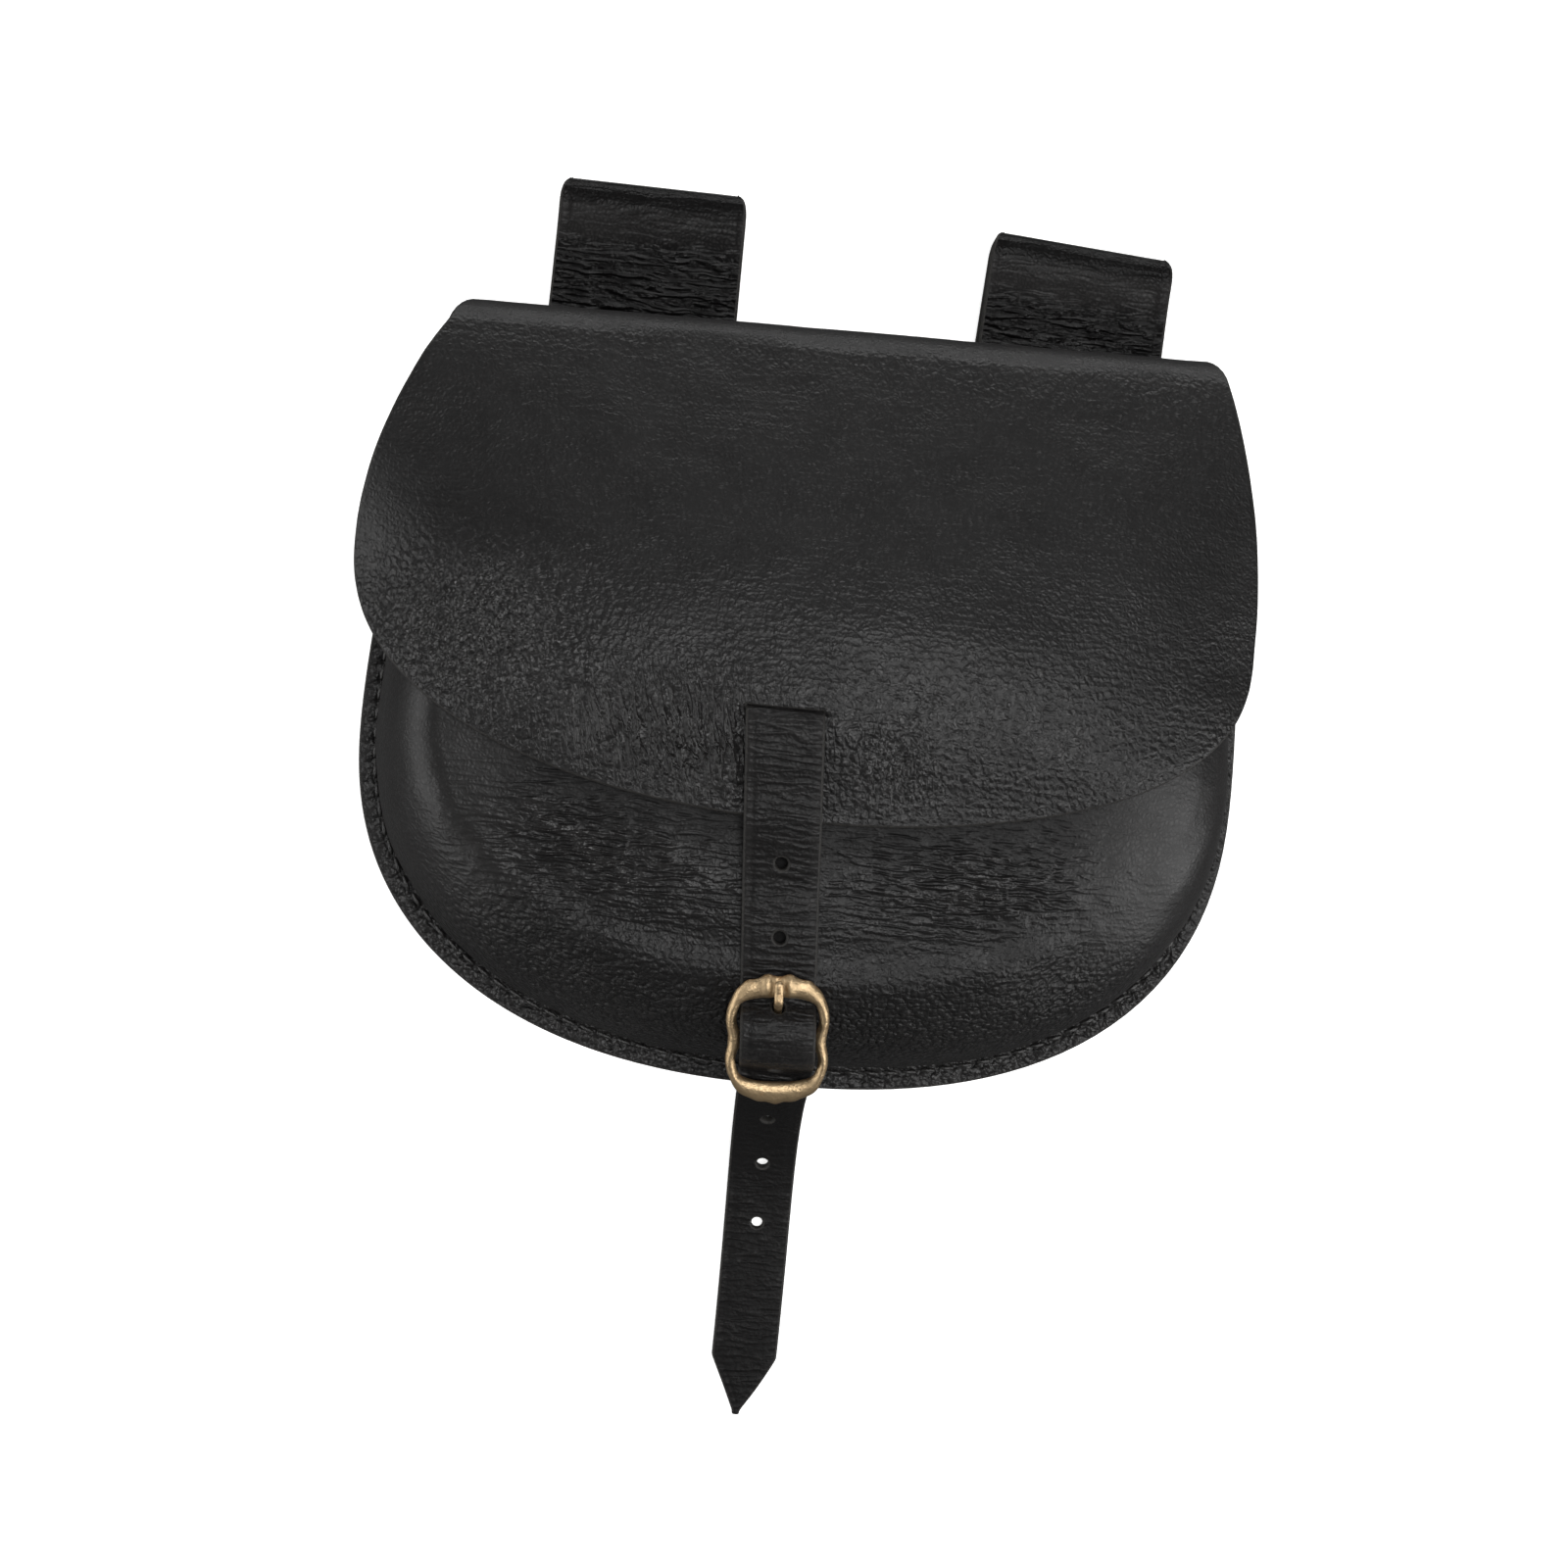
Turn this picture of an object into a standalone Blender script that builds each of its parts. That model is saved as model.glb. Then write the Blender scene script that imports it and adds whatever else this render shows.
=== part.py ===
"""A leather belt pouch lying on its back: a moulded front shell sewn to one long piece of leather
that is the back, the fold and the flap, two belt loops, and a pointed strap in a cast brass buckle.

Units are metres, +Z is up and out of the pouch's front, +Y runs from the strap's tip to the belt
loops. Pieces are made in the pouch's own frame, whose Y is zero on the body's widest line, and one
empty carries them all to the model's frame.
"""

import math

import bmesh
import bpy
import numpy as np

MM = 0.001

# Leather and the gap between pieces that touch
BODY_LEATHER = 2.0 * MM
SHELL_LEATHER = 1.8 * MM
STRAP_LEATHER = 1.8 * MM
LOOP_LEATHER = 1.8 * MM
TAB_LEATHER = 1.5 * MM
TOUCH = 0.3 * MM
CURVED_TOUCH = 0.45 * MM

# Body seen from the front
BODY_HALF_WIDTH = 98.9 * MM
BODY_DEPTH_BELOW = 73.9 * MM
BODY_ROUNDNESS = 2.36
BODY_FLARE = 1.7
BODY_LEAN = 2.2 * MM
FOLD_INSET_LEFT = 15.9 * MM
FOLD_INSET_RIGHT = 17.5 * MM
FOLD_CORNER = 3.5 * MM
FOLD_TOP = 93.5 * MM
FOLD_SKEW = 0.022

# The back panel is lifted off the table by the belt loops behind its upper part
LIFT_LENGTH = 63.5 * MM

# Front shell
POUCH_HEIGHT = 44.0 * MM
FLANGE_WIDTH = 6.0 * MM
WALL_RUN_LEFT = 22.0 * MM
WALL_RUN_BOTTOM = 26.0 * MM
WALL_RUN_RIGHT = 16.0 * MM
WALL_FOOT = 1.8
WALL_SHOULDER = 0.6
SIDE_FALL = 4.0 * MM
MOUTH_BELOW_FOLD = 25.0 * MM

# Fold and flap
FOLD_RADIUS = 9.0 * MM
FOLD_SWEEP = math.radians(160.0)
FLAP_GAP = 2.9 * MM
FLAP_INSET_LEFT = 1.3 * MM
FLAP_INSET_RIGHT = 8.6 * MM
FLAP_LENGTH = 104.5 * MM
FLAP_WIDEST_LEFT = 37.0 * MM
FLAP_WIDEST_RIGHT = 29.0 * MM
FLAP_ROUNDNESS = 2.1
FLAP_FLARE = 1.8
FLAP_DROOP_LEFT = 15.0 * MM
FLAP_DROOP_RIGHT = 10.0 * MM
FLAP_SETTLE = 20.0 * MM
DROOP_FROM = 0.68
CURVE_RUN = 58.0 * MM

# Belt loops
BELT_SPACE = 4.6 * MM
LOOP_WIDTH = 40.4 * MM
LOOP_LEFT_FROM_END = 38.2 * MM
LOOP_RIGHT_FROM_END = 30.4 * MM
LOOP_LEFT_RISE = 31.5 * MM
LOOP_RIGHT_RISE = 29.0 * MM
LOOP_RIGHT_LEAN = math.radians(3.4)
LOOP_FRONT_LENGTH = 60.0 * MM
LOOP_CORNER = 5.0 * MM
LOOP_CORNER_IN = 1.8 * MM

# Closing strap
STRAP_WIDTH = 15.0 * MM
STRAP_END_WIDTH = 14.0 * MM
STRAP_HIDDEN = 20.0 * MM
STRAP_LEAN = 6.2 * MM
STRAP_OFFSET = -0.6 * MM
STRAP_DROP_RUN = 41.0 * MM
STRAP_TIP = 152.0 * MM
STRAP_POINT = 13.5 * MM
STRAP_TIP_WIDTH = 0.5 * MM
STRAY = 1.5 * MM
SLIT_FROM_EDGE = 22.0 * MM
SLIT_CLIMB = math.radians(58.0)
SLIT_BEND = 2.2 * MM
SLIT_LEAD = 3.0 * MM
SLIT_SIDE_ROOM = 0.6 * MM
SLIT_END_ROOM = 0.9 * MM
HOLE_RADIUS = 1.55 * MM
HOLE_PITCH = 15.5 * MM
HOLES_ABOVE_TONGUE = 2
HOLES_BELOW_TONGUE = 5

# Buckle
BUCKLE_LENGTH = 27.5 * MM
BUCKLE_SIDE_ROOM = 1.1 * MM
BUCKLE_ROUNDNESS = 3.4
BUCKLE_WAIST = 1.1 * MM
BUCKLE_WAIST_LENGTH = 3.0 * MM
BUCKLE_TILT = math.radians(17.0)
END_BAR_WIDTH = 4.0 * MM
END_BAR_FROM = 0.7
SIDE_BAR_WIDTH = 2.4 * MM
FRAME_THICKNESS = 2.8 * MM
CREST_HEIGHT = 0.8 * MM
CREST_REACH = 3.5 * MM
BUCKLE_PAST_RIDGE = 3.0 * MM
MIDDLE_BAR_RADIUS = 1.1 * MM
MIDDLE_BAR_SINK = 2.5 * MM
MIDDLE_BAR_CRANK = 1.5 * MM
HUMP_ROOM = 1.6 * MM
TONGUE_RADIUS = 0.8 * MM
TONGUE_HOLE_AT = 6.6 * MM
TONGUE_LEAD = 2.2 * MM
TONGUE_OVERHANG = 0.6 * MM
TONGUE_OPEN_FROM = math.radians(60.0)
TONGUE_OPEN_TO = math.radians(335.0)
TAB_WIDTH = 11.4 * MM
TAB_SLOT = 3.0 * MM
TAB_REACH = 8.0 * MM
TAB_OPENS = 2.6 * MM

# Colours and finish
BLACK = (0.012, 0.011, 0.011)
LEATHER_ROUGHNESS = 0.5
BRASS = (0.56, 0.38, 0.17)
BRASS_ROUGHNESS = 0.35

# Roundness of the corner between the flap's straight run and the shell's dome
SOFTNESS = 2.5 * MM

# Height of the shell's face along its middle line, from the mouth down to the lower ridge
CROWN = (
    # along, height
    (0.00, 0.93),
    (0.25, 0.97),
    (0.45, 1.00),
    (0.70, 0.985),
    (0.90, 0.96),
    (1.00, 0.935),
)

# Broad dents that the shell's face has taken with use
DENTS = (
    # across, along, reach, depth
    (-0.52, -0.40, 0.20, 0.030),
    (-0.20, -0.62, 0.16, 0.016),
    (0.34, -0.48, 0.18, 0.022),
    (0.60, -0.12, 0.16, 0.020),
)

# The strap's rise over the middle bar, between the places where it passes under the end bars
STRAP_HUMP = (
    # along, rise
    (1.00, 0.0),
    (0.70, 0.05),
    (0.36, 0.80),
    (0.00, 1.0),
    (-0.36, 0.80),
    (-0.70, 0.05),
    (-1.00, 0.0),
)

# How the strap falls from the buckle to the surface that the pouch lies on
STRAP_FALL = (
    # along, height
    (0.04, 0.89),
    (0.09, 0.73),
    (0.17, 0.55),
    (0.29, 0.37),
    (0.43, 0.22),
    (0.60, 0.105),
    (0.78, 0.035),
    (0.96, 0.004),
)

# The strap's middle line strays a little from straight on its free stretch
STRAP_STRAY = (
    # along, aside
    (0.0, 0.0),
    (0.45, 0.5),
    (0.85, 0.5),
    (1.0, 0.0),
)

# How finely the pieces are meshed, how near points are merged, and how far cutters reach through
MERGE = 0.001 * MM
CUT_THROUGH = 6
TABLE_STEPS = 8
CURVE_STEPS = 2
STRIP_COLUMNS = 3
LOOP_COLUMNS = 5
LOOP_REAR_STEPS = 8
LOOP_ROUND_STEPS = 9
LOOP_FRONT_STEPS = 6
WRAP_STEPS = 11
TAB_RUN_STEPS = 2
HIDDEN_STEPS = 6
WALL_STEPS = 5
ROUND_ROWS = 13
STRAIGHT_ROWS = 12
FOLD_ROWS = 9
FLARED_ROWS = 10
BODY_COLUMNS = 19
COLUMN_CROWDING = 0.86
LAST_ROW_ANGLE = math.radians(86.0)
OUTLINE_STEPS = 31
MOUTH_STEPS = 9
WALL_RINGS = (0.0, 0.03, 0.10, 0.22, 0.38, 0.58, 0.80, 1.0)
FACE_RINGS = (0.18, 0.42, 0.68, 0.88, 1.0)
FRAME_STEPS = 56
FRAME_SIDES = 8
BAR_SIDES = 10
TONGUE_SIDES = 8
HOLE_SIDES = 12


def ease(t):
    """Smooth step from 0 to 1 with level ends."""
    t = np.clip(t, 0.0, 1.0)
    return t * t * (3.0 - 2.0 * t)


def soft_min(a, b):
    """The smaller of two heights, with the corner between them rounded."""
    return -SOFTNESS * np.logaddexp(-np.asarray(a) / SOFTNESS, -np.asarray(b) / SOFTNESS)


def curve_through(points, per_span):
    """Points along a Catmull-Rom curve through the given points."""
    knots = np.asarray(points, float)
    padded = np.vstack([2 * knots[0] - knots[1], knots, 2 * knots[-1] - knots[-2]])
    out = []
    for p0, p1, p2, p3 in zip(padded[:-3], padded[1:-2], padded[2:-1], padded[3:]):
        for t in np.arange(per_span) / per_span:
            out.append(
                0.5
                * (
                    2 * p1
                    + (p2 - p0) * t
                    + (2 * p0 - 5 * p1 + 4 * p2 - p3) * t**2
                    + (3 * p1 - p0 - 3 * p2 + p3) * t**3
                )
            )
    out.append(knots[-1])
    return np.array(out)


def table_value(table, t):
    """A table's second column at t along its first, smoothly."""
    line = curve_through(table, TABLE_STEPS)
    return np.interp(t, line[:, 0], line[:, 1])


def quarter_round(roundness):
    """Shares down and out of a rounded end's rows, from its widest line to its last."""
    angles = np.linspace(0.0, LAST_ROW_ANGLE, ROUND_ROWS)
    return np.sin(angles) ** (2 / roundness), np.cos(angles) ** (2 / roundness)


# Widths of the fold and the flap, and where the loops sit on the fold

FOLD_LEFT = BODY_HALF_WIDTH - FOLD_INSET_LEFT
FOLD_RIGHT = BODY_HALF_WIDTH - FOLD_INSET_RIGHT
FLAP_LEFT = BODY_HALF_WIDTH - FLAP_INSET_LEFT
FLAP_RIGHT = BODY_HALF_WIDTH - FLAP_INSET_RIGHT
LOOP_LEFT_MIDDLE = LOOP_LEFT_FROM_END - FOLD_LEFT
LOOP_RIGHT_MIDDLE = FOLD_RIGHT - LOOP_RIGHT_FROM_END

# Heights of the body

LOOP_LIFT = 2 * LOOP_LEATHER + BELT_SPACE + CURVED_TOUCH
FOLD_MIDDLE_Y = FOLD_TOP - FOLD_RADIUS - BODY_LEATHER / 2
FOLD_MIDDLE_Z = LOOP_LIFT + BODY_LEATHER / 2 + FOLD_RADIUS
FLAP_START_Y = FOLD_MIDDLE_Y + FOLD_RADIUS * math.sin(FOLD_SWEEP)
FLAP_START_Z = FOLD_MIDDLE_Z - FOLD_RADIUS * math.cos(FOLD_SWEEP)
FLAP_EDGE_Y = FOLD_TOP - FLAP_LENGTH
MOUTH_Y = FOLD_TOP - MOUTH_BELOW_FOLD
RIDGE_Y = -(BODY_DEPTH_BELOW - FLANGE_WIDTH - WALL_RUN_BOTTOM)
SLIT_Y = FLAP_EDGE_Y + SLIT_FROM_EDGE

# The loops' rear layers end where the wedge under the back panel leaves room for their leather
WEDGE_SHARE = (LOOP_LEATHER + CURVED_TOUCH) / LOOP_LIFT
LOOP_END_Y = LIFT_LENGTH * (0.5 - math.sin(math.asin(1 - 2 * WEDGE_SHARE) / 3))


def back_height(y):
    """Underside of the back panel: flat on the table low down, lifted over the belt loops."""
    return LOOP_LIFT * ease(y / LIFT_LENGTH)


def flange_height(y):
    """Underside of the sewn flange, on the back panel."""
    return back_height(y) + BODY_LEATHER + TOUCH


def fold_line(y):
    """Middle line of the flap where it runs straight from the fold up to the shell."""
    return FLAP_START_Z + (FLAP_START_Y - y) * math.tan(math.pi - FOLD_SWEEP)


def crown(y):
    """Outer face of the shell along its middle line, under the straight run of the flap."""
    along = (MOUTH_Y - y) / (MOUTH_Y - RIDGE_Y)
    dome = POUCH_HEIGHT * table_value(CROWN, np.clip(along, 0.0, 1.0))
    return soft_min(fold_line(y) - BODY_LEATHER / 2 - FLAP_GAP, dome)


def by_side(x, left, right):
    """The value of the side that x lies on."""
    return np.where(np.asarray(x) < 0, left, right)


def body_edge(x, y):
    """Distance of the back panel's edge from the middle line at y, on the side of x."""
    below = np.clip(-y / BODY_DEPTH_BELOW, 0.0, 1.0)
    low = BODY_HALF_WIDTH * (1 - below**BODY_ROUNDNESS) ** (1 / BODY_ROUNDNESS)
    above = np.clip(y / FOLD_MIDDLE_Y, 0.0, 1.0)
    fold = by_side(x, FOLD_LEFT, FOLD_RIGHT)
    high = BODY_HALF_WIDTH - (BODY_HALF_WIDTH - fold) * above**BODY_FLARE
    return np.where(y < 0, low, high)


def flap_edge(x, y):
    """Distance of the flap's edge from the middle line at y, on the side of x."""
    fold = by_side(x, FOLD_LEFT, FOLD_RIGHT)
    widest = by_side(x, FLAP_LEFT, FLAP_RIGHT)
    widest_y = by_side(x, FLAP_WIDEST_LEFT, FLAP_WIDEST_RIGHT)
    share = np.clip((FLAP_START_Y - y) / (FLAP_START_Y - widest_y), 0.0, 1.0)
    below = np.clip((widest_y - y) / (widest_y - FLAP_EDGE_Y), 0.0, 1.0)
    flared = fold + (widest - fold) * (1 - (1 - share) ** FLAP_FLARE)
    return flared * (1 - below**FLAP_ROUNDNESS) ** (1 / FLAP_ROUNDNESS)


def curved_share(y):
    """How far the leather's cross-section is curved at y: not at all at the fold."""
    return ease((FOLD_MIDDLE_Y - y) / CURVE_RUN)


def side_fall(x, y):
    """How far the leather has fallen below its middle line at x."""
    return SIDE_FALL * curved_share(y) * (x / BODY_HALF_WIDTH) ** 2


def face_height(x, y):
    """Outer face of the shell inside its ridge."""
    dent = 0.0
    for across, along, reach, depth in DENTS:
        far = (x - across * BODY_HALF_WIDTH) ** 2 + (y - along * BODY_DEPTH_BELOW) ** 2
        dent = dent + depth * POUCH_HEIGHT * np.exp(-far / (reach * BODY_HALF_WIDTH) ** 2)
    under_flap = ease((y - FLAP_EDGE_Y) / FLAP_SETTLE)
    return crown(y) - side_fall(x, y) - dent * (1 - under_flap)


def wall_rise(share):
    """Height share of the wall at a share of its run, from the flange to the ridge."""
    return (1 - (1 - share) ** WALL_FOOT) ** WALL_SHOULDER


def wall_run(x, y):
    """Run of the wall at an outline point: by side, and more towards the bottom."""
    side = by_side(x, WALL_RUN_LEFT, WALL_RUN_RIGHT)
    return side + (WALL_RUN_BOTTOM - side) * ease(-y / BODY_DEPTH_BELOW)


def flap_gap(y):
    """Gap between shell and flap: room for the strap's hidden end, closing to a touch at the edge."""
    return 2 * TOUCH + (FLAP_GAP - 2 * TOUCH) * ease((y - FLAP_EDGE_Y) / FLAP_SETTLE)


def flap_height(x, y):
    """Middle of the flap's leather: over the shell's face, drooping past its ridge."""
    centre = crown(y) + flap_gap(y) + BODY_LEATHER / 2
    run = by_side(x, WALL_RUN_LEFT, WALL_RUN_RIGHT)
    widest = by_side(x, FLAP_LEFT, FLAP_RIGHT)
    droop = by_side(x, FLAP_DROOP_LEFT, FLAP_DROOP_RIGHT)
    ridge = body_edge(x, np.maximum(y, 0.0)) - FLANGE_WIDTH - DROOP_FROM * run
    past = (np.abs(x) - ridge) / (widest - ridge)
    return centre - side_fall(x, y) - droop * curved_share(y) * ease(past)


def skew(x, y):
    """How much higher the fold lies at x: it runs a little up to the right."""
    return FOLD_SKEW * x * ease(y / FOLD_MIDDLE_Y)


def settled(x, y):
    """Where a place on the body lies: the bottom hangs a little to the right, the fold is skew."""
    below = np.clip(-y / BODY_DEPTH_BELOW, 0.0, 1.0)
    return x + BODY_LEAN * below**2, y + skew(x, y)


# Where the buckle lies: its middle, its two directions in (y, z), and the strap under its end bars

BUCKLE_UP = np.array([math.cos(BUCKLE_TILT), math.sin(BUCKLE_TILT)])
BUCKLE_OUT = np.array([-math.sin(BUCKLE_TILT), math.cos(BUCKLE_TILT)])
BUCKLE_ARM = (BUCKLE_LENGTH - END_BAR_WIDTH) / 2
BUCKLE_WIDTH = STRAP_WIDTH + 2 * (SIDE_BAR_WIDTH + BUCKLE_SIDE_ROOM)
STRAP_UNDER = FRAME_THICKNESS / 2 + CURVED_TOUCH + STRAP_LEATHER / 2
STRAP_OVER_RIDGE = np.array([RIDGE_Y, float(crown(RIDGE_Y)) + CURVED_TOUCH + STRAP_LEATHER / 2])
TOP_BAR = STRAP_OVER_RIDGE - BUCKLE_UP * BUCKLE_PAST_RIDGE + BUCKLE_OUT * STRAP_UNDER
BUCKLE_ORIGIN = TOP_BAR - BUCKLE_UP * BUCKLE_ARM


def buckle_point(along, above):
    """(y, z) of a point given along the buckle's length and above its plane."""
    return BUCKLE_ORIGIN + BUCKLE_UP * along + BUCKLE_OUT * above


# Mesh helpers


def material(name, colour, roughness, metallic=0.0):
    """A Principled material with one colour."""
    made = bpy.data.materials.new(name)
    made.use_nodes = True
    shader = made.node_tree.nodes["Principled BSDF"]
    shader.inputs["Base Color"].default_value = (*colour, 1.0)
    shader.inputs["Roughness"].default_value = roughness
    shader.inputs["Metallic"].default_value = metallic
    return made


def grid_object(name, points, finish, root, wrap=(False, False)):
    """A mesh object from a grid of points, rows by columns, open or wrapped either way."""
    rows, columns = points.shape[:2]
    faces = []
    for i in range(rows if wrap[0] else rows - 1):
        for j in range(columns if wrap[1] else columns - 1):
            i2, j2 = (i + 1) % rows, (j + 1) % columns
            faces.append((i * columns + j, i * columns + j2, i2 * columns + j2, i2 * columns + j))
    mesh = bpy.data.meshes.new(name)
    mesh.from_pydata(points.reshape(-1, 3).tolist(), [], faces)
    shape = bmesh.new()
    shape.from_mesh(mesh)
    bmesh.ops.remove_doubles(shape, verts=shape.verts, dist=MERGE)
    bmesh.ops.recalc_face_normals(shape, faces=shape.faces)
    shape.to_mesh(mesh)
    shape.free()
    mesh.shade_smooth()
    made = bpy.data.objects.new(name, mesh)
    made.data.materials.append(finish)
    made.parent = root
    bpy.context.collection.objects.link(made)
    return made


def thicken(made, leather):
    """Give a sheet its thickness, half to each side."""
    wall = made.modifiers.new("leather", "SOLIDIFY")
    wall.thickness = leather
    wall.offset = 0.0
    wall.use_even_offset = True


def hide(made):
    """Keep a piece out of the build: it only cuts or joins others."""
    made.hide_render = True
    made.display_type = "WIRE"


def cutter(name, shape, centre, normal, root):
    """Turn a shape into a hidden cutter whose Z lies along the normal."""
    mesh = bpy.data.meshes.new(name)
    shape.to_mesh(mesh)
    shape.free()
    made = bpy.data.objects.new(name, mesh)
    made.location = centre
    made.rotation_euler = (math.atan2(-normal[1], normal[2]), 0.0, 0.0)
    made.parent = root
    hide(made)
    bpy.context.collection.objects.link(made)
    return made


def round_cutter(name, centre, normal, radius, length, root):
    """A hidden round cutter through a point along a normal."""
    shape = bmesh.new()
    bmesh.ops.create_cone(
        shape, cap_ends=True, segments=HOLE_SIDES, radius1=radius, radius2=radius, depth=length
    )
    return cutter(name, shape, centre, normal, root)


def box_cutter(name, centre, size, root):
    """A hidden box cutter."""
    shape = bmesh.new()
    bmesh.ops.create_cube(shape, size=1.0)
    bmesh.ops.scale(shape, vec=size, verts=shape.verts)
    return cutter(name, shape, centre, (0, 0, 1), root)


def combine(made, other, operation):
    """Cut a piece with another object, or join it on."""
    step = made.modifiers.new(other.name, "BOOLEAN")
    step.operation = operation
    step.object = other
    step.solver = "EXACT"


def strip(path, half_widths, aside, across):
    """Grid of a strip that follows (y, z) points, with its middle moved aside in x."""
    grid = np.zeros((len(path), across, 3))
    grid[..., 0] = aside[:, None] + half_widths[:, None] * np.linspace(-1, 1, across)
    grid[..., 1] = path[:, 0, None]
    grid[..., 2] = path[:, 1, None]
    return grid


def path_normals(path):
    """Unit normals of a (y, z) path, to the left of its direction."""
    along = np.gradient(path, axis=0)
    along /= np.linalg.norm(along, axis=1)[:, None]
    return np.stack([-along[:, 1], along[:, 0]], 1)


def arc_lengths(path):
    """Length along a path up to each of its points."""
    return np.concatenate([[0.0], np.cumsum(np.linalg.norm(np.diff(path, axis=0), axis=1))])


# Body pieces


def make_back_and_flap(finish, root):
    """One sheet of leather, slit for the strap: back panel, fold and flap, row by row."""
    edge = math.pi / 2 * COLUMN_CROWDING
    shares = np.sin(np.linspace(-edge, edge, BODY_COLUMNS)) / math.sin(edge)
    rows = []
    back_y = -BODY_DEPTH_BELOW * quarter_round(BODY_ROUNDNESS)[0][::-1]
    for y in np.concatenate([back_y, np.linspace(0, FOLD_MIDDLE_Y, STRAIGHT_ROWS)[1:]]):
        height = back_height(y) + BODY_LEATHER / 2
        rows.append((body_edge(shares, y) * shares, y, height))
    for angle in np.linspace(0, FOLD_SWEEP, FOLD_ROWS)[1:]:
        reach = by_side(shares, FOLD_LEFT, FOLD_RIGHT) - FOLD_CORNER * math.sin(angle) ** 3
        y = FOLD_MIDDLE_Y + FOLD_RADIUS * math.sin(angle)
        rows.append((reach * shares, y, FOLD_MIDDLE_Z - FOLD_RADIUS * math.cos(angle)))
    flared_y = np.linspace(FLAP_START_Y, FLAP_WIDEST_LEFT, FLARED_ROWS, endpoint=False)[1:]
    round_share = quarter_round(FLAP_ROUNDNESS)[0]
    round_y = FLAP_WIDEST_LEFT + (FLAP_EDGE_Y - FLAP_WIDEST_LEFT) * round_share
    for y in np.concatenate([flared_y, round_y]):
        x = flap_edge(shares, y) * shares
        rows.append((x, y, flap_height(x, np.full_like(x, y))))
    grid = np.zeros((len(rows), len(shares), 3))
    for row, (x, y, z) in enumerate(rows):
        grid[row, :, 0], grid[row, :, 1] = settled(x, y)
        grid[row, :, 2] = z
    made = grid_object("back_and_flap", grid, finish, root)
    thicken(made, BODY_LEATHER)
    reach = STRAP_LEATHER / math.sin(SLIT_CLIMB) + BODY_LEATHER / math.tan(SLIT_CLIMB)
    size = (STRAP_WIDTH + 2 * SLIT_SIDE_ROOM, reach + 2 * SLIT_END_ROOM, CUT_THROUGH * BODY_LEATHER)
    centre = (strap_aside(SLIT_Y), SLIT_Y, float(flap_height(0.0, SLIT_Y)))
    combine(made, box_cutter("slit_cutter", centre, size, root), "DIFFERENCE")
    return made


def shell_outline():
    """The shell's edge seen from the front, from its mouth on the left round to the right."""
    mouth = np.linspace(MOUTH_Y, 0.0, MOUTH_STEPS, endpoint=False)
    angles = np.linspace(0.0, math.pi, OUTLINE_STEPS)
    power = 2 / BODY_ROUNDNESS
    x = -BODY_HALF_WIDTH * np.sign(np.cos(angles)) * np.abs(np.cos(angles)) ** power
    y = -BODY_DEPTH_BELOW * np.abs(np.sin(angles)) ** power
    left = np.column_stack([-body_edge(-1, mouth), mouth])
    right = np.column_stack([body_edge(1, mouth), mouth])[::-1]
    return np.vstack([left, np.column_stack([x, y]), right])


def make_front_panel(finish, root):
    """The moulded shell: flange, wall, ridge and face, as rings drawn in from its outline."""
    outline = shell_outline()
    inward = np.array([0.0, MOUTH_Y]) - outline
    distance = np.linalg.norm(inward, axis=1)
    inward /= distance[:, None]
    run = wall_run(outline[:, 0], outline[:, 1])
    rings = [(0.0, 0.0, 0.0)]
    rings += [(1.0, share, 0.0) for share in WALL_RINGS]
    rings += [(1.0, 1.0, share) for share in FACE_RINGS]
    grid = np.zeros((len(rings), len(outline), 3))
    for ring, (flange, wall, face) in enumerate(rings):
        inset = FLANGE_WIDTH * flange + run * wall
        inset = inset + (distance - inset) * face
        x, y = (outline + inward * inset[:, None]).T
        base = flange_height(y) + SHELL_LEATHER / 2
        top = face_height(x, y) - SHELL_LEATHER / 2
        grid[ring, :, 0], grid[ring, :, 1] = settled(x, y)
        grid[ring, :, 2] = base + (top - base) * wall_rise(wall)
    made = grid_object("front_panel", grid, finish, root)
    thicken(made, SHELL_LEATHER)
    return made


def loop_path(rise, end):
    """A belt loop's middle line: rear layer on the table, fold at the top, front layer."""
    radius = (BELT_SPACE + LOOP_LEATHER) / 2
    top = FOLD_TOP + rise - radius - LOOP_LEATHER / 2
    rear = LOOP_LEATHER / 2
    points = [(y, rear) for y in np.linspace(end, top, LOOP_REAR_STEPS, endpoint=False)]
    for angle in np.linspace(0, math.pi, LOOP_ROUND_STEPS):
        points.append((top + radius * math.sin(angle), rear + radius * (1 - math.cos(angle))))
    front = rear + 2 * radius
    down = np.linspace(top - LOOP_FRONT_LENGTH, top, LOOP_FRONT_STEPS, endpoint=False)[::-1]
    points += [(y, front) for y in down]
    return np.array(points)


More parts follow.
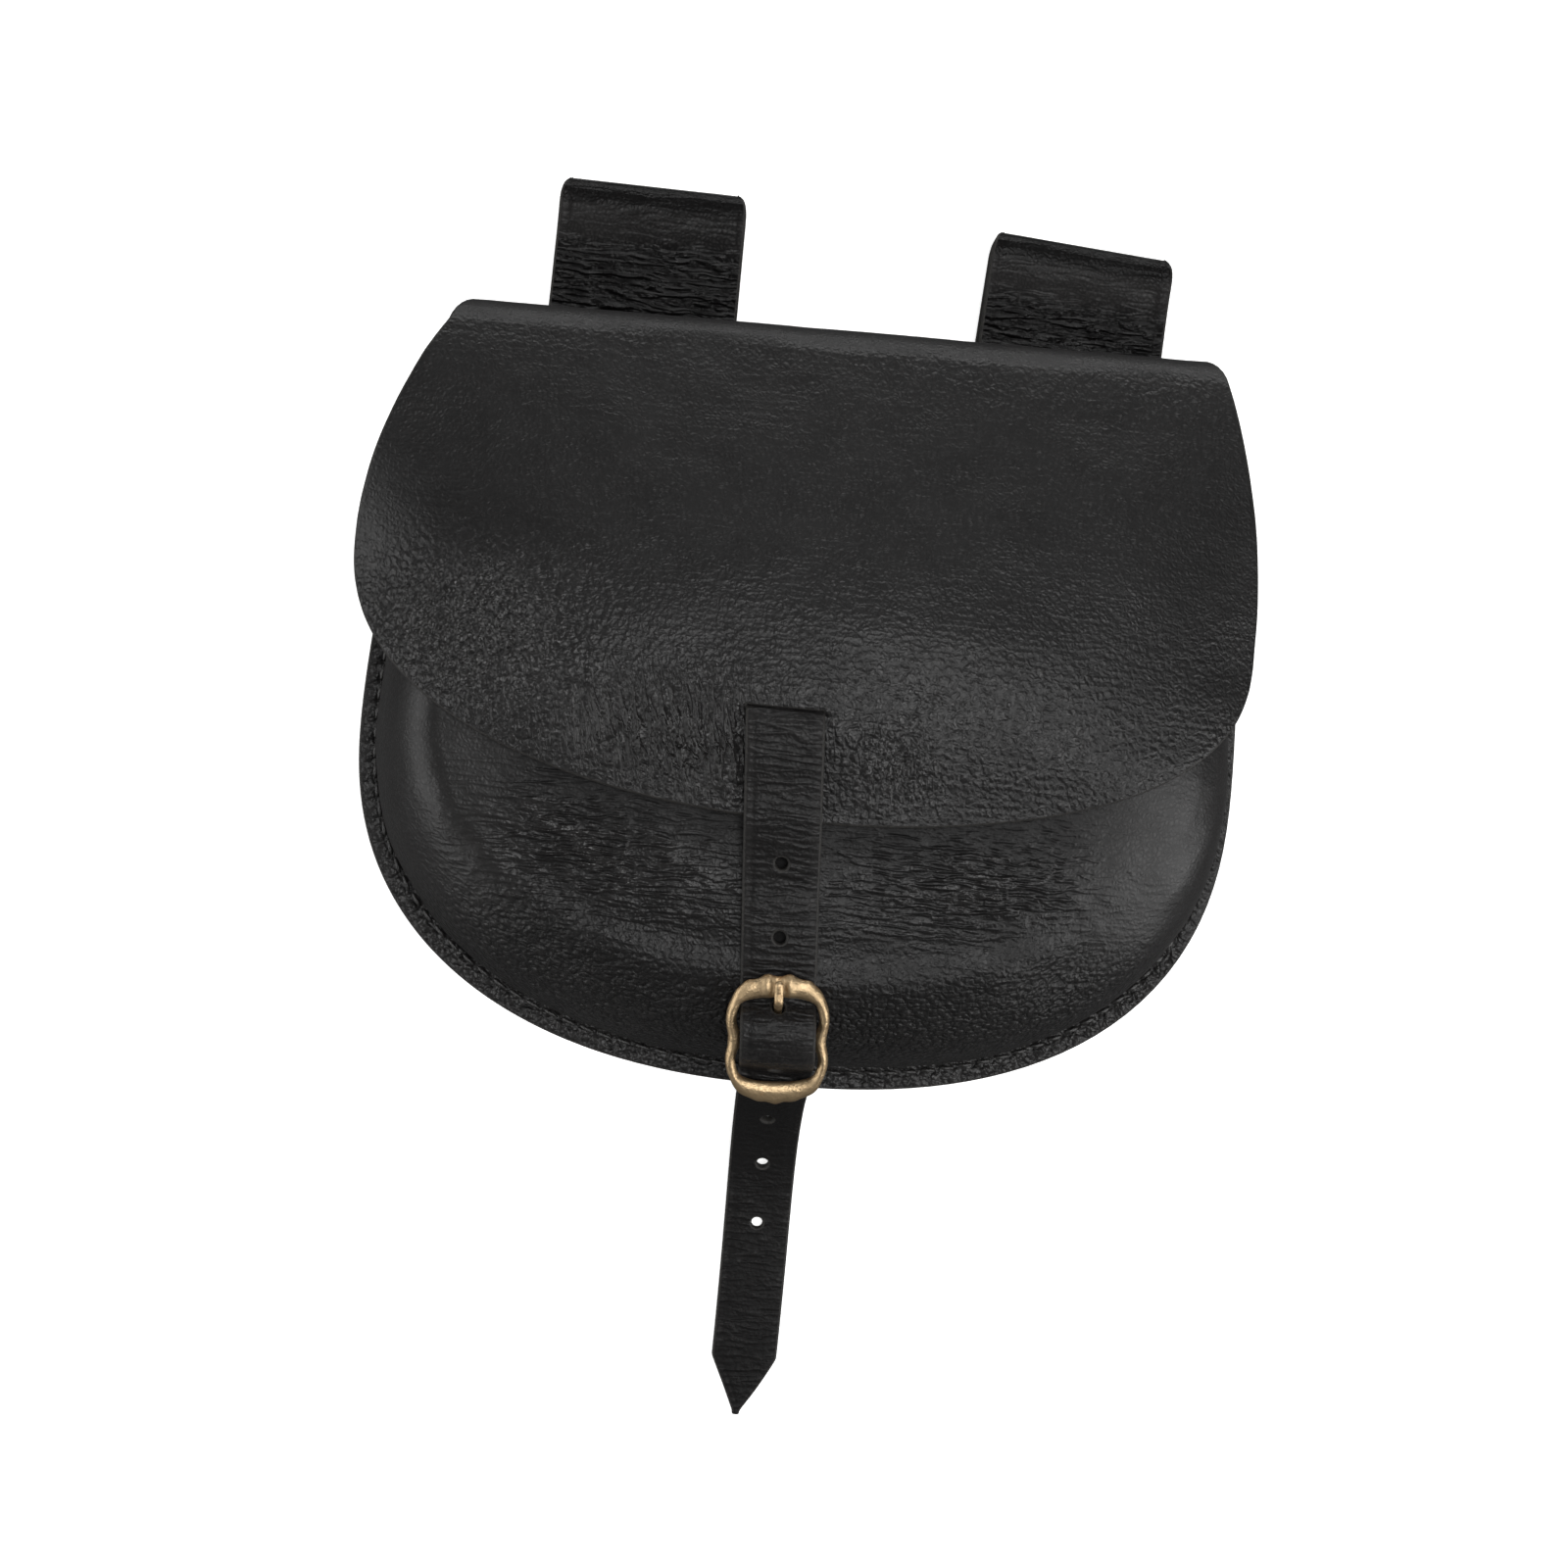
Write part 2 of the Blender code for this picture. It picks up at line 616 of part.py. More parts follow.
def make_belt_loop(name, middle, rise, lean, finish, root):
    """A strip folded over at the top, its corners rounded there, its front layer on the back panel."""
    turned = LOOP_WIDTH / 2 * math.tan(lean) + max(skew(middle + LOOP_WIDTH / 2, LOOP_END_Y), 0.0)
    path = loop_path(rise, LOOP_END_Y + turned)
    near = np.clip(1 - (path[:, 0].max() - path[:, 0]) / LOOP_CORNER, 0.0, 1.0)
    half = LOOP_WIDTH / 2 - LOOP_CORNER_IN * (1 - np.sqrt(1 - near**2))
    aside = middle + (path[:, 0] - FOLD_TOP) * math.tan(lean)
    grid = strip(path, half, aside, LOOP_COLUMNS)
    grid[..., 1] -= (grid[..., 0] - aside[:, None]) * math.tan(lean)
    x, y, z = grid[..., 0], grid[..., 1], grid[..., 2]
    under = back_height(y - skew(x, y)) - CURVED_TOUCH - LOOP_LEATHER / 2
    front = np.arange(len(path)) >= len(path) - LOOP_FRONT_STEPS
    grid[..., 2] = np.where(front[:, None], np.minimum(z, under), z)
    made = grid_object(name, grid, finish, root)
    thicken(made, LOOP_LEATHER)
    return made


# Strap and buckle


def strap_aside(y):
    """The strap's middle line in x: it leans towards the left loop above the buckle."""
    low = float(buckle_point(-BUCKLE_LENGTH / 2, 0.0)[0])
    lean = STRAP_LEAN / (SLIT_Y - low) * -soft_min(low - y, 0.0 * y)
    free = table_value(STRAP_STRAY, np.clip((low - y) / (low + STRAP_TIP), 0.0, 1.0))
    return STRAP_OFFSET - lean + STRAY * free


def strap_path():
    """The strap's middle line in (y, z), from its hidden end to its tip."""
    slit_z = float(flap_height(0.0, SLIT_Y))
    half = BODY_LEATHER / 2 + CURVED_TOUCH + STRAP_LEATHER / 2
    turn = SLIT_BEND * math.tan(SLIT_CLIMB / 2)
    climb = half / math.tan(SLIT_CLIMB)
    points = []
    for y in np.linspace(SLIT_Y + STRAP_HIDDEN, SLIT_Y + climb + SLIT_LEAD, HIDDEN_STEPS):
        points.append((y, float(flap_height(0.0, y)) - half))
    lower = np.array([SLIT_Y + climb, slit_z - half])
    upper = np.array([SLIT_Y - climb, slit_z + half])
    slope = (upper - lower) / np.linalg.norm(upper - lower)
    points.append(lower + (turn, 0.0))
    points.append(lower + slope * turn)
    points.append((SLIT_Y, slit_z))
    points.append(upper - slope * turn)
    points.append(upper - (turn, 0.0))
    for y in np.linspace(SLIT_Y - climb - SLIT_LEAD, FLAP_EDGE_Y - TOUCH, 4):
        points.append((y, float(flap_height(0.0, max(y, FLAP_EDGE_Y))) + half))
    for y in np.linspace(FLAP_EDGE_Y, RIDGE_Y, 6)[1:-1]:
        points.append((y, float(crown(y)) + CURVED_TOUCH + STRAP_LEATHER / 2))
    wrapped = max(TONGUE_RADIUS * 2, TAB_LEATHER) + HUMP_ROOM
    hump = MIDDLE_BAR_RADIUS + wrapped + STRAP_LEATHER / 2 - MIDDLE_BAR_SINK
    for along, rise in STRAP_HUMP:
        points.append(buckle_point(BUCKLE_ARM * along, (hump + STRAP_UNDER) * rise - STRAP_UNDER))
    foot = points[-1]
    floor = STRAP_LEATHER / 2
    for along, height in STRAP_FALL:
        points.append((foot[0] - along * STRAP_DROP_RUN, floor + (foot[1] - floor) * height))
    for y in np.linspace(foot[0] - STRAP_DROP_RUN, -STRAP_TIP, 6):
        points.append((y, floor))
    return curve_through([tuple(point) for point in points], CURVE_STEPS)


def tongue_hole(path):
    """Arc length of the strap's path at the hole that the tongue goes through."""
    along = (path - BUCKLE_ORIGIN) @ BUCKLE_UP
    return float(np.interp(-TONGUE_HOLE_AT, -along, arc_lengths(path)))


def on_path(path, values, spot):
    """Values of a path's points read at an arc length."""
    arc = arc_lengths(path)
    return np.array([np.interp(spot, arc, values[:, k]) for k in (0, 1)])


def make_closing_strap(finish, root):
    """The strap, with its holes and its pointed tip."""
    path = strap_path()
    arc = arc_lengths(path)
    half = (STRAP_WIDTH + (STRAP_END_WIDTH - STRAP_WIDTH) * ease(arc / arc[-1])) / 2
    pointed = np.clip((arc[-1] - arc) / STRAP_POINT, 0.0, 1.0)
    half = np.maximum(half * pointed, STRAP_TIP_WIDTH / 2)
    grid = strip(path, half, strap_aside(path[:, 0]), STRIP_COLUMNS)
    made = grid_object("closing_strap", grid, finish, root)
    thicken(made, STRAP_LEATHER)
    normals = path_normals(path)
    for number in range(-HOLES_ABOVE_TONGUE, HOLES_BELOW_TONGUE + 1):
        spot = tongue_hole(path) + number * HOLE_PITCH
        y, z = on_path(path, path, spot)
        normal = (0.0, *on_path(path, normals, spot))
        name = f"hole_cutter_{number + HOLES_ABOVE_TONGUE + 1}"
        centre = (float(strap_aside(y)), y, z)
        length = CUT_THROUGH * STRAP_LEATHER
        punch = round_cutter(name, centre, normal, HOLE_RADIUS, length, root)
        combine(made, punch, "DIFFERENCE")
    return made


def to_buckle(points):
    """Points given across, along and above the buckle, in the pouch's frame."""
    flat = np.asarray(points, float)
    middle = BUCKLE_ORIGIN[0]
    turn = math.atan(float(strap_aside(middle + MM) - strap_aside(middle - MM)) / (2 * MM))
    across = flat[..., 0] * math.cos(turn) + flat[..., 1] * math.sin(turn)
    along = flat[..., 1] * math.cos(turn) - flat[..., 0] * math.sin(turn)
    yz = BUCKLE_ORIGIN + along[..., None] * BUCKLE_UP + flat[..., 2:3] * BUCKLE_OUT
    x = across + strap_aside(middle)
    return np.concatenate([x[..., None], yz], axis=-1)


def tube_object(name, centres, radius, sides, finish, root):
    """A capped round tube through the given centres, which all lie in one plane."""
    along = np.gradient(centres, axis=0)
    along /= np.linalg.norm(along, axis=1)[:, None]
    first = np.broadcast_to(np.linalg.svd(centres - centres.mean(axis=0))[2][2], centres.shape)
    second = np.cross(along, first)
    angles = np.linspace(0, 2 * math.pi, sides, endpoint=False)
    grid = (
        centres[:, None]
        + radius * np.cos(angles)[None, :, None] * first[:, None]
        + radius * np.sin(angles)[None, :, None] * second[:, None]
    )
    start = np.broadcast_to(centres[0], (1, sides, 3))
    end = np.broadcast_to(centres[-1], (1, sides, 3))
    return grid_object(name, np.concatenate([start, grid, end]), finish, root, (False, True))


def make_buckle_frame(finish, root):
    """Cast double frame: a rounded ring pinched at its waist, with crests and a middle bar."""
    turn = np.linspace(0, 2 * math.pi, FRAME_STEPS, endpoint=False)
    along = np.sign(np.sin(turn)) * np.abs(np.sin(turn)) ** (2 / BUCKLE_ROUNDNESS)
    across = np.sign(np.cos(turn)) * np.abs(np.cos(turn)) ** (2 / BUCKLE_ROUNDNESS)
    end_share = ease((np.abs(along) - END_BAR_FROM) / (1 - END_BAR_FROM))
    bar = SIDE_BAR_WIDTH + (END_BAR_WIDTH - SIDE_BAR_WIDTH) * end_share
    y = along * BUCKLE_ARM
    reach = (BUCKLE_WIDTH - SIDE_BAR_WIDTH) / 2
    x = across * (reach - BUCKLE_WAIST * np.exp(-((y / BUCKLE_WAIST_LENGTH) ** 2)))
    crest = CREST_HEIGHT * np.exp(-((x / CREST_REACH) ** 2)) * (end_share > 0)
    forward = np.stack([np.roll(x, -1) - np.roll(x, 1), np.roll(y, -1) - np.roll(y, 1)], 1)
    forward /= np.linalg.norm(forward, axis=1)[:, None]
    grid = np.zeros((len(turn), FRAME_SIDES, 3))
    for column, angle in enumerate(np.linspace(0, 2 * math.pi, FRAME_SIDES, endpoint=False)):
        outward = math.cos(angle) * bar / 2 + crest * max(math.cos(angle), 0.0)
        grid[:, column, 0] = x + forward[:, 1] * outward
        grid[:, column, 1] = y - forward[:, 0] * outward
        grid[:, column, 2] = math.sin(angle) * FRAME_THICKNESS / 2
    made = grid_object("buckle_frame", to_buckle(grid), finish, root, (True, True))
    reach -= BUCKLE_WAIST
    bar_line = (
        (-reach, 0.0, 0.0),
        (-reach + MIDDLE_BAR_CRANK, 0.0, -MIDDLE_BAR_SINK),
        (reach - MIDDLE_BAR_CRANK, 0.0, -MIDDLE_BAR_SINK),
        (reach, 0.0, 0.0),
    )
    bar_object = tube_object(
        "middle_bar", to_buckle(bar_line), MIDDLE_BAR_RADIUS, BAR_SIDES, finish, root
    )
    hide(bar_object)
    combine(made, bar_object, "UNION")
    return made


def make_buckle_tongue(finish, root):
    """A round wire turned round the middle bar, up through the strap and onto the end bar."""
    path = strap_path()
    spot = tongue_hole(path)
    offset = on_path(path, path, spot) - BUCKLE_ORIGIN
    hole = np.array([offset @ BUCKLE_UP, offset @ BUCKLE_OUT])
    direction = on_path(path, path_normals(path), spot)
    through = np.array([direction @ BUCKLE_UP, direction @ BUCKLE_OUT])
    through *= math.copysign(1.0, through[1])
    loop = MIDDLE_BAR_RADIUS + CURVED_TOUCH + TONGUE_RADIUS
    points = []
    for angle in np.linspace(TONGUE_OPEN_FROM, TONGUE_OPEN_TO, WRAP_STEPS):
        points.append((loop * math.cos(angle), loop * math.sin(angle) - MIDDLE_BAR_SINK))
    rest = FRAME_THICKNESS / 2 + TOUCH + TONGUE_RADIUS
    points.append(tuple(hole - through * TONGUE_LEAD / 2))
    points.append(tuple(hole + through * TONGUE_LEAD / 2))
    points.append((BUCKLE_ARM - END_BAR_WIDTH / 2, rest + TOUCH))
    points.append((BUCKLE_ARM, rest))
    points.append((BUCKLE_ARM + END_BAR_WIDTH / 2 + TONGUE_OVERHANG, rest - TOUCH))
    line = curve_through(points, CURVE_STEPS)
    centres = to_buckle(np.column_stack([np.zeros(len(line)), line]))
    return tube_object("buckle_tongue", centres, TONGUE_RADIUS, TONGUE_SIDES, finish, root)


def shell_profile(y):
    """Middle of the shell's leather on its middle line, down its lower wall."""
    share = np.clip((y + BODY_DEPTH_BELOW - FLANGE_WIDTH) / WALL_RUN_BOTTOM, 0.0, 1.0)
    base = flange_height(y) + SHELL_LEATHER / 2
    return base + (crown(y) - SHELL_LEATHER / 2 - base) * wall_rise(share)


def touch_angle(point, middle, radius, side):
    """Angle round a circle at which a line from a point touches it, on its right (-1) or left (1)."""
    towards = middle - point
    spread = math.asin(radius / math.hypot(*towards))
    return math.atan2(towards[1], towards[0]) + side * (spread + math.pi / 2)


def make_buckle_tab(finish, root):
    """A leather tab folded round the middle bar, both its layers sewn down to the wall below."""
    bar = buckle_point(0.0, -MIDDLE_BAR_SINK)
    ys = np.linspace(bar[0] - TAB_REACH, bar[0] - TAB_OPENS, WALL_STEPS)
    wall = np.column_stack([ys, shell_profile(ys)])
    normals = path_normals(wall)
    inner = wall + normals * (SHELL_LEATHER / 2 + CURVED_TOUCH + TAB_LEATHER / 2)
    outer = inner + normals * (TAB_LEATHER + TOUCH)
    radius = MIDDLE_BAR_RADIUS + 2 * TOUCH + TAB_LEATHER / 2
    first = touch_angle(inner[-1], bar, radius, -1)
    last = touch_angle(outer[-1], bar, radius, 1)
    angles = np.linspace(first, last, WRAP_STEPS)
    wrap = bar + radius * np.column_stack([np.cos(angles), np.sin(angles)])
    up = np.linspace(inner[-1], wrap[0], TAB_RUN_STEPS + 2)[1:-1]
    down = np.linspace(wrap[-1], outer[-1], TAB_RUN_STEPS + 2)[1:-1]
    path = curve_through(np.vstack([inner, up, wrap, down, outer[::-1]]), CURVE_STEPS)
    half = np.full(len(path), TAB_WIDTH / 2)
    aside = np.full(len(path), float(strap_aside(bar[0])))
    made = grid_object("buckle_tab", strip(path, half, aside, STRIP_COLUMNS), finish, root)
    thicken(made, TAB_LEATHER)
    reach = MIDDLE_BAR_RADIUS + 2 * TOUCH + 2 * TONGUE_RADIUS + TAB_LEATHER / 2
    place = (aside[0], bar[0], bar[1])
    slot = box_cutter("tab_slot_cutter", place, (TAB_SLOT, 2 * reach, 4 * reach), root)
    combine(made, slot, "DIFFERENCE")
    return made


def main():
    """Clear the scene and build the pouch."""
    for old in list(bpy.data.objects):
        bpy.data.objects.remove(old, do_unlink=True)
    root = bpy.data.objects.new("pouch", None)
    bpy.context.collection.objects.link(root)
    longest_rise = max(LOOP_LEFT_RISE, LOOP_RIGHT_RISE)
    root.location = (0.0, (STRAP_TIP - FOLD_TOP - longest_rise) / 2, 0.0)
    make_back_and_flap(material("flap_leather", BLACK, LEATHER_ROUGHNESS), root)
    make_front_panel(material("shell_leather", BLACK, LEATHER_ROUGHNESS), root)
    loops = (
        # name, middle, rise, lean
        ("belt_loop_left", LOOP_LEFT_MIDDLE, LOOP_LEFT_RISE, 0.0),
        ("belt_loop_right", LOOP_RIGHT_MIDDLE, LOOP_RIGHT_RISE, LOOP_RIGHT_LEAN),
    )
    for name, middle, rise, lean in loops:
        finish = material(name + "_leather", BLACK, LEATHER_ROUGHNESS)
        make_belt_loop(name, middle, rise, lean, finish, root)
    make_closing_strap(material("strap_leather", BLACK, LEATHER_ROUGHNESS), root)
    make_buckle_frame(material("frame_brass", BRASS, BRASS_ROUGHNESS, 1.0), root)
    make_buckle_tongue(material("tongue_brass", BRASS, BRASS_ROUGHNESS, 1.0), root)
    make_buckle_tab(material("tab_leather", BLACK, LEATHER_ROUGHNESS), root)


main()
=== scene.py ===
"""Looks of a black leather belt pouch that lies on its back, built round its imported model.

Every leather piece is a thick sheet: a middle surface worked out as a function of two parameters,
a grain side with its own relief, a flesh side, and a rounded cut edge between the two. The brass
buckle, its wire tongue and the waxed stitches are profiles carried along paths.

Lengths are in millimetres in the pouch's own frame, whose Y is zero on the body's widest line.
A finished mesh is in metres in the model's frame.
"""

import functools
import logging
import math
from dataclasses import dataclass, field
from enum import Enum

import bmesh
import bpy
import numpy as np
from mathutils import Matrix, Vector


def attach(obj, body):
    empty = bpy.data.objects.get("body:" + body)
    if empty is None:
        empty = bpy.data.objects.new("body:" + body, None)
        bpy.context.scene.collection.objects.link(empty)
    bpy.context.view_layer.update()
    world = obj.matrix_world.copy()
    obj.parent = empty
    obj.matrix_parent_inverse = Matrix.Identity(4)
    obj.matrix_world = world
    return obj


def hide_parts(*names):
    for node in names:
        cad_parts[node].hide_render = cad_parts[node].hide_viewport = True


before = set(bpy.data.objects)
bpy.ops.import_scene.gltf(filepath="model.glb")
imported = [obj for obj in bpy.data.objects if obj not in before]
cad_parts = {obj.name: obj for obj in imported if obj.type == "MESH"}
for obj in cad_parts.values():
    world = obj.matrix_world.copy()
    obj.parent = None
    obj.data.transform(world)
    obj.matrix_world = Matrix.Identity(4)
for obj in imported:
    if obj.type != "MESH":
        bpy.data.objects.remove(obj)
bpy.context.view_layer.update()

log = logging.getLogger("belt_pouch")

Array = np.ndarray
Triple = tuple[float, float, float]
Colour = Triple
METRES = 0.001  # in a millimetre
BODY = "root"
POLE_MERGE = 0.001  # millimetres within which the points of a tube's end are one
TINY = 1e-9  # keeps a length that is divided by from being 0
FAR = 9.0  # further off than anything that is looked for nearby
SCATTER = 0.42  # how far a cell's middle strays, as a share of the cell
RIM_ANGLES = (30.0, 60.0, 90.0)  # degrees round each corner of a sheet's rim
SPAN_POINTS = 8  # of a curve, from one of its given points to the next
WAVE_PERIOD = 2 * math.pi / 20  # of Blender's wave texture at scale 1
LEATHER_MASKS = ("pebbled", "creased", "wrinkled", "polished", "dull")


# Shapes of curves


def ease(t: Array | float) -> Array:
    """Smooth step from 0 to 1 with level ends: three squares less two cubes of t."""
    t = np.clip(t, 0.0, 1.0)
    return t * t * (3.0 - 2.0 * t)


def ramp(t: Array | float, start: float, end: float) -> Array:
    """Smooth step of t, from 0 at start to 1 at end."""
    return ease((t - start) / (end - start))


def bell(t: Array | float) -> Array:
    """A bump that is 1 at 0 and fades both ways: e to the minus square of t."""
    return np.exp(-np.square(t))


def soft_min(a: Array, b: Array, softness: float) -> Array:
    """The smaller of two heights, with the corner between them rounded.

    Args:
        a: First heights.
        b: Second heights.
        softness: How wide the corner is rounded.

    Returns:
        Minus the softness times the log of the sum of e to the minus height over softness.
    """
    return -softness * np.logaddexp(-np.asarray(a) / softness, -np.asarray(b) / softness)


def curve_through(points: Array, per_span: int) -> Array:
    """Points along a Catmull-Rom curve, whose spans are cubics through each pair of points.

    Args:
        points: The points that the curve passes through.
        per_span: How many points each span gives.

    Returns:
        The curve's points, the last of the given points included.
    """
    knots = np.asarray(points, float)
    padded = np.vstack([2 * knots[0] - knots[1], knots, 2 * knots[-1] - knots[-2]])
    p0, p1, p2, p3 = (padded[i : len(padded) - 3 + i, None, :] for i in range(4))
    t = (np.arange(per_span) / per_span)[None, :, None]
    curve = 0.5 * (
        2 * p1
        + (p2 - p0) * t
        + (2 * p0 - 5 * p1 + 4 * p2 - p3) * t**2
        + (3 * p1 - p0 - 3 * p2 + p3) * t**3
    )
    return np.vstack([curve.reshape(-1, knots.shape[1]), knots[-1]])


def arc_lengths(path: Array) -> Array:
    """Length along a path up to each of its points."""
    return np.concatenate([[0.0], np.cumsum(np.linalg.norm(np.diff(path, axis=0), axis=1))])


def at_lengths(path: Array, spots: Array) -> Array:
    """A path's points read at arc lengths, each coordinate interpolated between its points."""
    arc = arc_lengths(path)
    return np.stack([np.interp(spots, arc, path[:, k]) for k in range(path.shape[1])], axis=-1)


def unit(vectors: Array) -> Array:
    """Vectors of length 1 in the same directions."""
    return vectors / np.maximum(np.linalg.norm(vectors, axis=-1, keepdims=True), TINY)


def path_normals(path: Array) -> Array:
    """Unit normals of a (y, z) path, to the left of its direction."""
    along = unit(np.gradient(path, axis=0))
    return np.stack([-along[:, 1], along[:, 0]], 1)


def full_turn(count: int) -> Array:
    """Angles evenly spaced round a circle."""
    return np.linspace(0, 2 * math.pi, count, endpoint=False)


def snapped(values: Array, targets: tuple[float, ...]) -> Array:
    """The values, with the one nearest to each target moved onto it."""
    moved = np.array(values)
    for target in targets:
        moved[np.argmin(np.abs(moved - target))] = target
    return moved


@dataclass(frozen=True)
class Noise:
    """Repeatable noise on the plane, from a hash of each unit square's corners.

    Attributes:
        seed: Which noise this is.
    """

    seed: int

    def corner(self, i: Array, j: Array) -> Array:
        """A number from -1 to 1 for each whole-number corner, from multiplied and shifted bits."""
        a = np.asarray(i).astype(np.int64).astype(np.uint32) * np.uint32(374761393)
        b = np.asarray(j).astype(np.int64).astype(np.uint32) * np.uint32(668265263)
        mixed = a ^ b ^ np.uint32((self.seed * 2246822519) & 0xFFFFFFFF)
        mixed = (mixed ^ (mixed >> np.uint32(13))) * np.uint32(1274126177)
        mixed = (mixed ^ (mixed >> np.uint32(15))) * np.uint32(2246822519)
        return (mixed ^ (mixed >> np.uint32(16))) / 2.0**31 - 1.0

    def plain(self, x: Array, y: Array) -> Array:
        """Noise from -1 to 1: the corners' numbers blended over each square by a smooth step."""
        x, y = np.broadcast_arrays(np.asarray(x, float), np.asarray(y, float))
        i, j = np.floor(x), np.floor(y)
        u, v = ease(x - i), ease(y - j)
        low = self.corner(i, j) * (1 - u) + self.corner(i + 1, j) * u
        high = self.corner(i, j + 1) * (1 - u) + self.corner(i + 1, j + 1) * u
        return low * (1 - v) + high * v

    def layered(self, x: Array, y: Array, layers: int = 3) -> Array:
        """Noise with finer noise on it: each layer is twice as fine and half as strong."""
        total = 0.0
        for layer in range(layers):
            scale = 2.0**layer
            total = total + Noise(self.seed + 101 * layer).plain(x * scale, y * scale) / scale
        return total

    def cells(self, x: Array, y: Array, border: float = 0.35) -> Array:
        """Pillows from 0 on the borders between scattered points' cells to 1 inside them.

        Args:
            x: Places across, in cells.
            y: Places along, in cells.
            border: How far from a border a pillow reaches its height.

        Returns:
            The smooth step of the second nearest point's distance less the nearest's.
        """
        x, y = np.broadcast_arrays(np.asarray(x, float), np.asarray(y, float))
        i, j = np.floor(x), np.floor(y)
        nearest = np.full(x.shape, FAR)
        second = np.full(x.shape, FAR)
        other = Noise(self.seed + 1)
        for dj in (-1, 0, 1):
            for di in (-1, 0, 1):
                a, b = i + di, j + dj
                px = a + 0.5 + SCATTER * self.corner(a, b)
                py = b + 0.5 + SCATTER * other.corner(a, b)
                far = np.hypot(x - px, y - py)
                second = np.minimum(second, np.maximum(nearest, far))
                nearest = np.minimum(nearest, far)
        return ease((second - nearest) / border)


@dataclass(frozen=True)
class Waves:
    """Smooth unevenness of a surface, from layered noise.

    Attributes:
        seed: Which noise it is.
        across: Width of its broadest waves, in millimetres.
        along: Their length.
        layers: How many layers it has.
        height: Its height.
    """

    seed: int
    across: float
    along: float
    layers: int
    height: float

    def at(self, x: Array, y: Array) -> Array:
        """Heights at places."""
        noise = Noise(self.seed)
        return noise.layered(x / self.across, y / self.along, self.layers) * self.height


@dataclass(frozen=True)
class Folds:
    """Raised cells with valleys between them, like crowded folds.

    Attributes:
        seed: Which noise it is.
        across: Width of a cell, in millimetres.
        along: Its length.
        border: Share of a cell over which it rises.
        height: Its height, half above and half below the surface.
    """

    seed: int
    across: float
    along: float
    border: float
    height: float

    def at(self, x: Array, y: Array) -> Array:
        """Heights at places."""
        cells = Noise(self.seed).cells(x / self.across, y / self.along, self.border)
        return (cells - 0.5) * self.height


@dataclass(frozen=True)
class Patch:
    """A place on the leather that fades out all round.

    Attributes:
        x: Its middle across.
        y: Its middle along.
        across: How far it reaches across.
        along: How far it reaches along.
    """

    x: float
    y: float
    across: float
    along: float

    def share(self, x: Array, y: Array) -> Array:
        """1 in its middle, falling to 0 round it."""
        return bell((x - self.x) / self.across) * bell((y - self.y) / self.along)


@dataclass(frozen=True)
class EdgeLine:
    """A line pressed into the leather beside its edge.

    Attributes:
        inset: How far inside the edge it runs.
        width: Its width.
        depth: Its depth.
    """

    inset: float
    width: float
    depth: float

    def at(self, edge_off: Array) -> Array:
        """Heights at distances inside the edge."""
        return -self.depth * bell((edge_off - self.inset) / self.width)


# Finishes


class Value:
    """A node's output in an expression, where numbers and outputs mix freely."""

    def __init__(self, tree: "Tree", socket: bpy.types.NodeSocket) -> None:
        """Keeps the tree that the output belongs to, and the output."""
        self.tree = tree
        self.socket = socket

    def _with(self, operation: str, a: "Value | float", b: "Value | float") -> "Value":
        """One Math node of that operation on two values."""
        return self.tree.node("ShaderNodeMath", {"operation": operation}, {0: a, 1: b})

    def __add__(self, other: "Value | float") -> "Value":
        """Sum."""
        return self._with("ADD", self, other)

    def __radd__(self, other: float) -> "Value":
        """Sum with a number in front."""
        return self._with("ADD", other, self)

    def __sub__(self, other: "Value | float") -> "Value":
        """Difference."""
        return self._with("SUBTRACT", self, other)

    def __rsub__(self, other: float) -> "Value":
        """Difference from a number."""
        return self._with("SUBTRACT", other, self)

    def __mul__(self, other: "Value | float") -> "Value":
        """Product."""
        return self._with("MULTIPLY", self, other)

    def __rmul__(self, other: float) -> "Value":
        """Product with a number in front."""
        return self._with("MULTIPLY", other, self)


